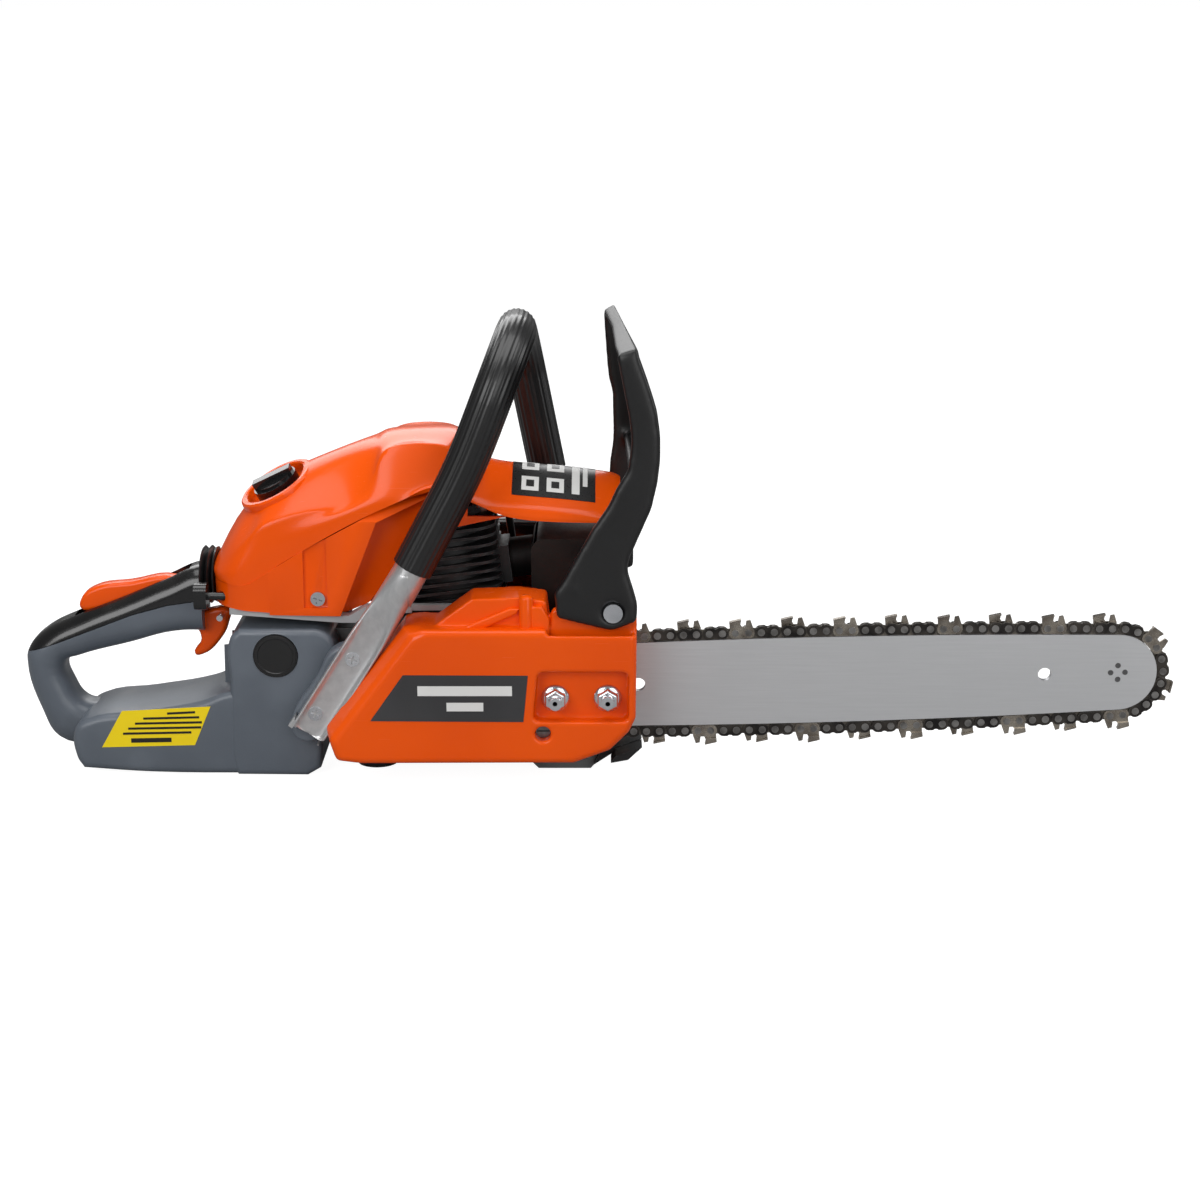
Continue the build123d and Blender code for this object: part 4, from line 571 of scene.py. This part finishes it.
hood_centre = [(4, 206), (14, 201), (24, 198), (39, 196), (62, 194), (85, 191.5), (98, 189.5), (103, 187)]
hood_edge = [183, 178.5, 174, 170, 168, 167.5, 168, 170]
hood_rows = []
for across, drop in ((0.4, None), (0.8, 0.45), (3.5, 18.5), (8, 16.0), (15, 12.6), (30, 5.4), (48, 0)):
    row = []
    for (x, top), edge in zip(hood_centre, hood_edge):
        if drop is None:
            height = edge
        elif across < 1:
            height = edge + (top - 19.5 - edge) * drop
        else:
            height = top - drop
        row.append((x, across, height))
    hood_rows.append(row)
front_hood = skin("front_hood_shell", hood_rows, {0: 1.0, 3: 0.45})
dress(front_hood, orange_plastic, "saw")
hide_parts("top_cover")

# ------------------------------------------------------------------ rear handle and tank
# One moulding of glass-filled nylon: the loop that the right hand grips and the fuel tank below it.
# The upper half of the grip is a black cover, screwed down over the throttle rod.
grey_plastic = finish("blue_grey_glass_filled_nylon", (98, 105, 114), (86, 93, 102), (0.34, 0.46), grain=1200,
                      bump=0.14, depth=0.00012, rubbed_and_highlit_edge=(146, 150, 156), rubbed_and_highlit_share=0.45, coat=0.1, dust=0.06)
clad_all("grey_plastic", grey_plastic)


def melted(piece, voxel, rounds, keep):
    """Rebuilds a piece with even faces and rubs its edges down, as a mould's radii do."""
    lone(piece)
    even = piece.modifiers.new("even_squares", "REMESH")
    even.mode = "VOXEL"
    even.voxel_size = voxel / 1000
    rubbed = piece.modifiers.new("rubbed_down", "SMOOTH")
    rubbed.factor = 0.5
    rubbed.iterations = rounds
    lean = piece.modifiers.new("fewer_faces", "DECIMATE")
    lean.ratio = keep
    for step in (even.name, rubbed.name, lean.name):
        bpy.ops.object.modifier_apply(modifier=step)


def plate(name, outlines, y0, y1, radius, steps=4):
    """A flat moulding with round edges, from side outlines; a third number marks a sharp corner."""
    lone()
    line = bpy.data.curves.new(name, "CURVE")
    line.dimensions = "2D"
    line.fill_mode = "BOTH"
    line.extrude = (y1 - y0) / 2000 - radius / 1000
    line.bevel_depth = radius / 1000
    line.offset = -radius / 1000
    line.bevel_resolution = steps
    line.resolution_u = 5
    for outline in outlines:
        run = line.splines.new("BEZIER")
        run.bezier_points.add(len(outline) - 1)
        run.use_cyclic_u = True
        for point, drawn in zip(run.bezier_points, outline):
            point.co = (drawn[0] / 1000, drawn[1] / 1000, 0)
            kind = "VECTOR" if len(drawn) == 3 else "AUTO"
            point.handle_left_type = point.handle_right_type = kind
    piece = bpy.data.objects.new(name, line)
    bpy.context.scene.collection.objects.link(piece)
    lone(piece)
    bpy.ops.object.convert(target="MESH")
    piece = bpy.context.object
    piece.matrix_world = Matrix.Translation(at(0, (y0 + y1) / 2, 0)) @ Matrix.Rotation(math.radians(90), 4,
                                                                                       "X")
    bpy.ops.object.transform_apply(location=True, rotation=True)
    bpy.ops.object.mode_set(mode="EDIT")
    bpy.ops.mesh.select_all(action="SELECT")
    bpy.ops.mesh.remove_doubles(threshold=2e-6)
    bpy.ops.mesh.normals_make_consistent(inside=False)
    bpy.ops.object.mode_set(mode="OBJECT")
    bpy.ops.object.shade_smooth_by_angle(angle=math.radians(35))
    return piece


def boxed(middle, size, pull=None):
    """A cutting tool: a block, with some corners pulled elsewhere."""
    lone()
    bpy.ops.mesh.primitive_cube_add(size=1, location=at(*middle), scale=[s / 1000 for s in size])
    tool = bpy.context.object
    bpy.ops.object.transform_apply(location=True, scale=True)
    for vertex in tool.data.vertices:
        if pull:
            vertex.co += Vector(pull(vertex.co - drawing_zero)) / 1000
    return tool


def prism(outline, y0, y1):
    """A cutting tool: a straight-sided outline carried across the saw."""
    lone()
    bpy.ops.mesh.primitive_circle_add(vertices=len(outline), radius=1, fill_type="NGON")
    tool = bpy.context.object
    for vertex, (x, z) in zip(tool.data.vertices, outline):
        vertex.co = at(x, y0, z)
    bpy.ops.object.mode_set(mode="EDIT")
    bpy.ops.mesh.select_all(action="SELECT")
    bpy.ops.mesh.extrude_region_move(TRANSFORM_OT_translate={"value": (0, (y1 - y0) / 1000, 0)})
    bpy.ops.mesh.select_all(action="SELECT")
    bpy.ops.mesh.normals_make_consistent(inside=False)
    bpy.ops.object.mode_set(mode="OBJECT")
    return tool


def finished(piece, material, body, *stands_for):
    """Gives a piece its finish, its body and the CAD nodes it stands for."""
    lone(piece)
    bpy.ops.object.shade_smooth_by_angle(angle=math.radians(35))
    dress(piece, material, body)
    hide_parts(*stands_for)
    return piece


loop_outline = [(-267, 14), (-277.5, 33), (-285.6, 68), (-284, 75), (-275, 85.5), (-249.5, 98.6), (-221, 110),
                (-193, 121.6), (-168, 131), (-152, 128, 0), (-145, 96, 0), (-146, 44, 0), (-200, 30, 0),
                (-240, 8, 0)]
loop_hole = [(-260, 66), (-257, 50), (-250, 39.5), (-242, 37.3), (-196, 44), (-152, 51.5), (-144.5, 62),
             (-148, 86),
             (-160, 86.5), (-187.4, 86.3), (-217, 78.8), (-252, 69.5)]
seam_low = [(-300, 64), (-283, 73.6), (-261.7, 81), (-214, 99.3), (-191, 105.7), (-169, 109), (-140, 110),
            (-140, 150), (-300, 150)]
grey_loop = plate("rear_handle_loop", [loop_outline, loop_hole], 27.5, 62.5, 12.5, 6)
black_grip = plate("grip_cover_shell", [loop_outline, loop_hole], 27.5, 62.5, 12.5, 6)
for piece in (grey_loop, black_grip):
    melted(piece, 1.0, 2, 0.6)
cut_with(grey_loop, prism(seam_low, 20, 70))
above_seam = [(x, z + 0.5) for x, z in seam_low]
cut_with(black_grip, prism(above_seam, 20, 70), "INTERSECT")
bay = [(-252, 92), (-239, 86), (-205, 95), (-178, 103), (-176, 130), (-255, 125)]
for piece in (grey_loop, black_grip):
    cut_with(piece, prism(bay, 37, 53))
    cut_with(piece, boxed((-134, 45, 120), (68, 60, 80)))
cut_with(grey_loop, boxed((-171.5, 45, 93.5), (47, 13, 37)))
finished(black_grip, black_plastic, "saw", "grip_cover")
finished(grey_loop, grey_plastic, "saw", "rear_handle")

rear_line = [(-248.2, 12), (-244, 4.6, 0), (-200, 1.6), (-120, 0.8, 0), (-120, 60, 0), (-150, 56), (-166, 50),
             (-205, 43), (-241, 37.4), (-248, 32)]
front_line = [(-147, 6), (-144, 0.4, 0), (-99, 0, 0), (-90.5, 5, 0), (-89, 20, 0), (-89, 38, 0),
              (-84, 46, 0), (-80, 70, 0),
              (-80, 90), (-88, 97), (-100, 98, 0), (-140, 98, 0), (-146, 92), (-147, 66)]
tank_rear = plate("fuel_tank_rear", [rear_line], -1.5, 66, 5, 5)
tank = plate("fuel_tank_front", [front_line], -2, 88, 4, 5)
for y0, y1 in ((-3, 8.3), (79.7, 89)):
    cut_with(tank, turned("mount_seat", [(14.4, y0), (14.4, y1)], (-117, 0, 81), (0, 1, 0)))
filler = 1000 * (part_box("fuel_cap")[0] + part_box("fuel_cap")[1]) / 2 - 1000 * drawing_zero
cut_with(tank, turned("filler_seat", [(14.3, 82), (14.3, 90)], (filler.x, 0, filler.z), (0, 1, 0)))
finished(tank, grey_plastic, "saw", "rear_handle")
finished(tank_rear, grey_plastic, "saw", "rear_handle")
lug = plate("bracket_lug", [[(-106, 34), (-96, 27), (-86, 34), (-58, 76), (-64, 88), (-76, 90), (-90, 70)]],
            -14.6, 0, 2.5)
finished(lug, grey_plastic, "saw", "rear_handle")

trigger_line = [(-161, 101), (-153, 101), (-153.5, 90), (-158.5, 80), (-171, 69.3), (-176, 69.6),
                (-171.5, 80),
                (-176, 89), (-187, 91.5), (-189, 95), (-172, 98)]
finished(plate("trigger_blade", [trigger_line], 39.5, 50.5, 3.2), orange_plastic, "trigger",
         "throttle_trigger")
lever_line = [(-249, 101), (-248.5, 107.5), (-241, 114.5), (-216, 119), (-186, 122), (-180.5, 117.5),
              (-183, 108),
              (-205, 104), (-238, 100)]
finished(plate("lockout_blade", [lever_line], 38.5, 51.5, 3.0), orange_plastic, "lockout", "lockout_lever")

# ------------------------------------------------------------------ clutch cover
# An orange moulding held by the two bar nuts. Its rear edge is cut back to a wide slope, and a sculpted hump
# with a round boss rises behind it, where the cover meets the hand guard.
def melted_copy(node, name, material, body, voxel, rounds, keep=0.5):
    """A copy of a node's shape as a moulding with generous radii on every edge, which stands for the node."""
    source = frame["nodes"][node]
    piece = bpy.data.objects.new(name, source.data.copy())
    bpy.context.scene.collection.objects.link(piece)
    lone(piece)
    bpy.ops.object.mode_set(mode="EDIT")
    bpy.ops.mesh.select_all(action="SELECT")
    bpy.ops.mesh.remove_doubles(threshold=2e-6)
    bpy.ops.object.mode_set(mode="OBJECT")
    melted(piece, voxel, rounds, keep)
    bpy.ops.object.shade_smooth()
    dress(piece, material, body)
    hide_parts(node)
    return piece


clutch_cover = melted_copy("clutch_cover", "clutch_cover_moulding", orange_plastic, "saw", 1.1, 4, 0.45)
edge_foot, edge_head = Vector((-80, 0, 24)), Vector((-20, 0, 106))
edge_run = (edge_head - edge_foot).normalized()
outward = Vector((-edge_run.z, 0, edge_run.x))
for vertex in clutch_cover.data.vertices:
    place = (vertex.co - drawing_zero) * 1000
    from_edge = (place - edge_foot).dot(outward)
    along_edge = (place - edge_foot).dot(edge_run)
    if from_edge > -9 and 0 < along_edge < 104:
        slope = min(max((place.y + 38) / 14, 0), 1) * min(along_edge / 12, 1) * min((104 - along_edge) / 10,
                                                                                    1)
        vertex.co += outward * 0.0065 * slope * min((from_edge + 9) / 7, 1)
boss_profile = [(4.6, 100.5), (4.6, 125), (4.1, 126.6), (2.6, 127.7), (0.6, 128)]
finished(turned("cover_boss", boss_profile, (44, -27.5, 0), (0, 0, 1), 24), orange_plastic, "saw",
         "clutch_cover")
ridge_line = [(-20, 101, 0), (6, 101, 0), (38, 116, 0), (40, 119.5, 0), (34, 119.5, 0), (4, 107, 0)]
finished(plate("cover_ridge", [ridge_line], -29.5, -22, 1.5), orange_plastic, "saw", "clutch_cover")
step_line = [(47, 101, 0), (58.5, 101, 0), (58.5, 113, 0), (54, 121, 0), (47, 121, 0)]
finished(plate("cover_step", [step_line], -31, -22, 1.2), orange_plastic, "saw", "clutch_cover")

# ------------------------------------------------------------------ starter housing
# An orange moulding with a ring of cooling slots, screwed over the flywheel and the rope pulley.
rounded_copy("starter_housing", "starter_housing_moulding", orange_plastic, "saw", 1.2, angle=28)

# ------------------------------------------------------------------ hand guard
# One black moulding: two arms and a shield whose far end leans back and stands higher than the near one.
satin_nylon = finish("satin_black_nylon", (17, 17, 18), (10, 10, 11), (0.34, 0.46), grain=1300, bump=0.06,
                     depth=0.0001, rubbed_and_highlit_edge=(44, 45, 48), rubbed_and_highlit_share=0.2, dust=0.02)
guard = melted_copy("hand_guard", "hand_guard_moulding", satin_nylon, "guard", 1.4, 24, 0.5)
for vertex in guard.data.vertices:
    place = (vertex.co - drawing_zero) * 1000
    far = min(max((place.y + 26) / 136, 0), 1)
    high = min(max((place.z - 188) / 50, 0), 1)
    lean = far * high * high * (3 - 2 * high)
    tip = min(max((place.z - 225) / 60, 0), 1)
    slim = (112 - place.x) * 0.45 * tip * min(max((place.y + 10) / 70, 0), 1)
    vertex.co += Vector((slim - 12.5 * lean, 0, 7 * lean)) / 1000
eye_profile = [(6.3, -34.6), (9.6, -34.6), (10.4, -33.8), (10.4, -31), (6.3, -31), (6.3, -34.6)]
guard_at = next(joint for joint in frame["joints"] if joint["name"] == "guard_swing")["pos_m"]
pivot = 1000 * (Vector(guard_at) - drawing_zero)
eye = turned("guard_eye", eye_profile, (pivot.x, 0, pivot.z), (0, 1, 0), 40)
dress(eye, satin_nylon, "guard")
bpy.ops.object.shade_smooth_by_angle(angle=math.radians(35))
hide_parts("hand_guard")

# ------------------------------------------------------------------ front handle
# A bent aluminium tube under a ribbed rubber sleeve. Its right leg is pressed flat into a channel,
# which two cross-head screws hold to the lug of the tank.
handle_alloy = finish("brushed_handle_alloy", (226, 226, 226), (196, 197, 199), (0.26, 0.42), metal=0.8,
                      grain=900,
                      along=(0.2, 1, 0.2), bump=0.08, rubbed_and_highlit_edge=(235, 236, 238), rubbed_and_highlit_share=0.4, dust=0.04, streak=0.15)
clad("front_handle", handle_alloy)


def bent(points, radii, step=6.0):
    """A run of straights with a round bend at each inner corner, in millimetres."""
    points = [Vector(place) for place in points]
    run = [points[0]]
    for before, corner, after, radius in zip(points, points[1:], points[2:], radii):
        back, on = (before - corner).normalized(), (after - corner).normalized()
        half = back.angle(on) / 2
        reach = radius / math.tan(half)
        middle = corner + (back + on).normalized() * (radius / math.sin(half))
        first, last = corner + back * reach - middle, corner + on * reach - middle
        turns = max(2, round(radius * (math.pi - 2 * half) / step))
        run += [middle + first.slerp(last, k / turns).normalized() * first.length for k in range(turns + 1)]
    return run + [points[-1]]


def sleeve(name, run, profile):
    """A profile of radius and angle carried along a run of places."""
    lone()
    ring = bpy.data.curves.new(name + "_profile", "CURVE")
    ring.dimensions = "2D"
    around = ring.splines.new("POLY")
    around.points.add(len(profile) - 1)
    around.use_cyclic_u = True
    for point, (radius, angle) in zip(around.points, profile):
        point.co = (radius * math.cos(angle) / 1000, radius * math.sin(angle) / 1000, 0, 1)
    ring_piece = bpy.data.objects.new(name + "_profile", ring)
    bpy.context.scene.collection.objects.link(ring_piece)
    line = bpy.data.curves.new(name, "CURVE")
    line.dimensions = "3D"
    line.bevel_mode = "OBJECT"
    line.bevel_object = ring_piece
    line.use_fill_caps = True
    along = line.splines.new("POLY")
    along.points.add(len(run) - 1)
    for point, place in zip(along.points, run):
        point.co = tuple(at(*place)) + (1,)
    piece = bpy.data.objects.new(name, line)
    bpy.context.scene.collection.objects.link(piece)
    lone(piece)
    bpy.ops.object.convert(target="MESH")
    piece = bpy.context.object
    bpy.data.objects.remove(ring_piece)
    bpy.ops.object.mode_set(mode="EDIT")
    bpy.ops.mesh.select_all(action="SELECT")
    bpy.ops.mesh.remove_doubles(threshold=2e-6)
    bpy.ops.mesh.normals_make_consistent(inside=False)
    bpy.ops.object.mode_set(mode="OBJECT")
    return piece


handle_run = [(-58.4, -20, 89.6), (-29.6, -20, 138.4), (7.2, -20, 207.9), (38, -20, 288), (34, 152, 270),
              (52, 152, 178), (80, 152, 62)]
sleeve_run = bent([(-27, -20, 143.3), *handle_run[2:5], (53.6, 152, 171)], [400, 40, 40])
ribbed = []
for step in range(96):
    angle = 2 * math.pi * step / 96
    ribbed.append((12.95 if step % 4 < 2 else 12.55, angle))
grip = sleeve("front_grip_sleeve", sleeve_run, ribbed)
finished(grip, black_rubber, "saw", "front_grip")
tube = rounded_copy("front_handle", "front_handle_tube", handle_alloy, "saw", 0.5)
cut_with(tube, boxed((-66, -20, 85), (74, 40, 112)))

channel_side = [(11.6, -25), (11.6, -20), (11.2, -15.5), (6, -15), (0, -15), (-6, -15), (-11.2, -15.5),
                (-11.6, -20),
                (-11.6, -25), (-10.6, -25.6), (-9.4, -25), (-8.6, -22.2), (0, -21.6), (8.6, -22.2),
                (9.4, -25),
                (10.6, -25.6)]
channel_top, channel_foot = Vector((-27.5, 0, 142.5)), Vector((-95.5, 0, 35.5))
along_leg = (channel_foot - channel_top).normalized()
across_leg = Vector((-along_leg.z, 0, along_leg.x))
leg_rows = []
for share in (0, 0.04, 0.1, 0.2, 0.32, 0.44, 0.56, 0.68, 0.8, 0.9, 0.97, 1.0):
    flat = min(max((share - 0.04) / 0.42, 0), 1)
    flat = flat * flat * (3 - 2 * flat)
    middle = channel_top.lerp(channel_foot, share)
    row = []
    for index, (u, y) in enumerate(channel_side + channel_side[:1]):
        angle = math.radians(-27 + index * 22.5) if index < 16 else math.radians(-27)
        round_u, round_y = 11 * math.cos(angle), -20 + 11 * math.sin(angle)
        side = round_u + (u - round_u) * flat
        row.append(middle + across_leg * side + Vector((0, round_y + (y - round_y) * flat, 0)))
    leg_rows.append(row)
lone()
bpy.ops.mesh.primitive_grid_add(x_subdivisions=16, y_subdivisions=len(leg_rows) - 1, size=1)
channel = bpy.context.object
channel.name = "front_handle_channel"
for vertex in channel.data.vertices:
    column, row = round((vertex.co.x + 0.5) * 16), round((vertex.co.y + 0.5) * (len(leg_rows) - 1))
    vertex.co = at(*leg_rows[row][column])
bpy.ops.object.mode_set(mode="EDIT")
bpy.ops.mesh.select_all(action="SELECT")
bpy.ops.mesh.remove_doubles(threshold=1e-5)
bpy.ops.mesh.select_all(action="DESELECT")
bpy.ops.mesh.select_non_manifold()
bpy.ops.mesh.edge_face_add()
bpy.ops.mesh.select_all(action="SELECT")
bpy.ops.mesh.normals_make_consistent(inside=False)
bpy.ops.object.mode_set(mode="OBJECT")
pressed = channel.modifiers.new("pressed", "SUBSURF")
pressed.levels = pressed.render_levels = 2
bpy.ops.object.modifier_apply(modifier=pressed.name)
finished(channel, handle_alloy, "saw", "front_handle")

# ------------------------------------------------------------------ handle boot
# A ribbed rubber boot, pushed over the throttle rod, seals the gap between the grip and the hood.
boot_profile = [(13, -168.6), (17.5, -168.4), (18.6, -167.4), (17.4, -166.2), (15.2, -165.2), (17.6, -164.2),
                (18.8, -163),
                (17.6, -161.8), (15.4, -161), (17.4, -160.2), (18, -159), (13, -158.4)]
boot = turned("handle_boot_ribs", boot_profile, (0, 45, 123), (1, 0, 0), 48)
for vertex in boot.data.vertices:
    sideways = vertex.co.y - at(0, 45, 0).y
    vertex.co.y += sideways * 0.22
finished(boot, black_rubber, "saw", "handle_boot")

# ------------------------------------------------------------------ printed films
# Three printed films: a badge on the clutch cover, a yellow sticker on the tank and a black one on the hood.
# Plain bars and small squares stand for whatever a maker prints on them.
badge_film = finish("dark_badge_film", (58, 58, 60), (50, 50, 52), (0.3, 0.4), grain=700, bump=0.03,
                    dust=0.02)
clad("decals", badge_film)
yellow_film = finish("yellow_sticker_film", (250, 222, 10), (243, 212, 4), (0.3, 0.4), grain=800, bump=0.03,
                     dust=0.02)
black_film = finish("black_sticker_film", (22, 22, 23), (16, 16, 17), (0.24, 0.34), grain=800, bump=0.03,
                    dust=0.02)
white_print = finish("white_print", (232, 232, 230), (220, 220, 218), (0.35, 0.45), grain=900, bump=0.02,
                     dust=0.03)
black_print = finish("black_print", (30, 28, 20), (22, 21, 16), (0.35, 0.45), grain=900, bump=0.02, dust=0.02)


def flat_film(name, outline, face, thick, material):
    """A film on a face that looks to the right of the saw, from its outline in side view."""
    piece = prism(outline, face - thick, face)
    piece.name = name
    return finished(piece, material, "saw", "decals")


def bar_on(name, x, z, length, height, slant, face, material):
    """A printed bar, as a thin slanted strip."""
    outline = [(x, z), (x + length, z + slant), (x + length, z + slant + height), (x, z + height)]
    return flat_film(name, outline, face, 0.12, material)


flat_film("badge_plate", [(-54, 49), (42, 48.4), (45, 78.7), (-33, 79)], -38, 0.3, badge_film)
bar_on("badge_bar_long", -24, 65.5, 59, 6.4, 0, -38.3, white_print)
bar_on("badge_bar_short", -6, 55.5, 23, 5.6, 0, -38.3, white_print)
flat_film("tank_sticker", [(-231, 19.5), (-171, 21), (-160, 47), (-217, 44)], -1.5, 0.25, yellow_film)
for index, (start, length) in enumerate(((-200, 18), (-213, 36), (-216, 43), (-218, 47), (-219, 44))):
    bar_on(f"sticker_bar_{index}", start + 2.5 * (4 - index) + 2, 41.6 - 3.4 * index, length, 1.5, 0.9,
           -1.75, black_print)
bar_on("sticker_bar_heavy", -212, 22.6, 26, 3.0, 0.5, -1.75, black_print)


def laid_on(name, places, target, lift, material):
    """A film on a crowned cover: a grid between two corners, dropped onto it and made a little thick."""
    (x0, y0), (x1, y1) = places
    lone()
    bpy.ops.mesh.primitive_grid_add(x_subdivisions=28, y_subdivisions=28, size=1,
                                    location=at((x0 + x1) / 2, (y0 + y1) / 2, 240))
    piece = bpy.context.object
    piece.scale = ((x1 - x0) / 1000, (y1 - y0) / 1000, 1)
    piece.name = name
    bpy.ops.object.transform_apply(location=True, scale=True)
    drop = piece.modifiers.new("laid_down", "SHRINKWRAP")
    drop.target = target
    drop.wrap_method = "PROJECT"
    drop.use_project_z = True
    drop.use_negative_direction = True
    drop.use_positive_direction = False
    drop.offset = lift / 1000
    film = piece.modifiers.new("film", "SOLIDIFY")
    film.thickness = 0.00015
    film.offset = 1
    for step in (drop.name, film.name):
        bpy.ops.object.modifier_apply(modifier=step)
    return finished(piece, material, "saw", "top_cover")


def strip_on(name, x0, x1, y0, y1, lift, material):
    """A film with four corners, laid on the front hood."""
    return laid_on(name, [(x0, y0), (x1, y1)], front_hood, lift, material)


strip_on("hood_label", 34, 87, 13, 82, 0.1, black_film)
for column in range(2):
    for line in range(3):
        x, y = 40 + 16 * column, 18 + 20 * line
        strip_on(f"hood_sign_{column}_{line}", x, x + 11, y, y + 13, 0.35, white_print)
        strip_on(f"hood_sign_mark_{column}_{line}", x + 3, x + 8, y + 3.5, y + 9.5, 0.55, black_film)
strip_on("hood_bar_long", 72, 77, 18, 76, 0.35, white_print)
strip_on("hood_bar_short", 79, 82, 26, 70, 0.35, white_print)

# ------------------------------------------------------------------ bar nuts
# Two M8 flange nuts of bright steel clamp the cover and the bar; a threaded stud end stands out of each.
nuts_low, nuts_high = ((1000 * (corner - drawing_zero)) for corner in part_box("bar_nuts"))
flange_profile = [(4.2, 0), (8.4, 0), (8.8, 0.4), (8.8, 1.1), (8.4, 1.6), (6.6, 2.7), (4.2, 2.7)]
hexagon_profile = [(7.2, 1.4), (7.35, 6.2), (6.9, 7.2), (6.0, 7.8), (4.4, 7.9), (4.1, 7.3), (4.1, 1.4)]
studs_low = 1000 * (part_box("bar_studs")[0] - drawing_zero)
stud_end = nuts_high.y - studs_low.y
stud_profile = [(3.3, -4)]
for turn_of_thread in range(int((stud_end + 3) / 1.25)):
    start = -3.5 + 1.25 * turn_of_thread
    stud_profile += [(3.45, start), (3.95, start + 0.45), (3.95, start + 0.75), (3.45, start + 1.2)]
stud_profile += [(3.2, stud_end - 0.1), (1.5, stud_end), (0.4, stud_end)]
for index, middle_x in enumerate((nuts_low.x + 8.8, nuts_high.x - 8.8)):
    stud_at = (middle_x, nuts_high.y, (nuts_low.z + nuts_high.z) / 2)
    nut = turned(f"bar_nut_{index}", flange_profile, stud_at, (0, -1, 0), 40)
    crown = turned("crown", hexagon_profile, stud_at, (0, -1, 0), 6)
    softer = crown.modifiers.new("softer_edges", "BEVEL")
    softer.width, softer.segments, softer.limit_method = 0.0003, 2, "ANGLE"
    bpy.ops.object.modifier_apply(modifier=softer.name)
    lone(nut)
    crown.select_set(True)
    bpy.ops.object.join()
    finished(nut, zinc_steel, "saw", "bar_nuts")
    finished(turned(f"stud_end_{index}", stud_profile, stud_at, (0, -1, 0), 32), zinc_steel, "saw")

# ------------------------------------------------------------------ mount plugs
# A round rubber plug closes each mount of the tank: a raised rim around a dished middle.
plug_profile = [(13.6, 3), (13.6, -2.4), (13.2, -3.1), (11.6, -3.2), (10.8, -2.4), (9.6, -1.2), (8.6, -2.2),
                (2, -2.6), (0.5, -2.6)]
finished(turned("mount_plug", plug_profile, (-117, -0.2, 81), (0, 1, 0)), black_rubber, "saw")
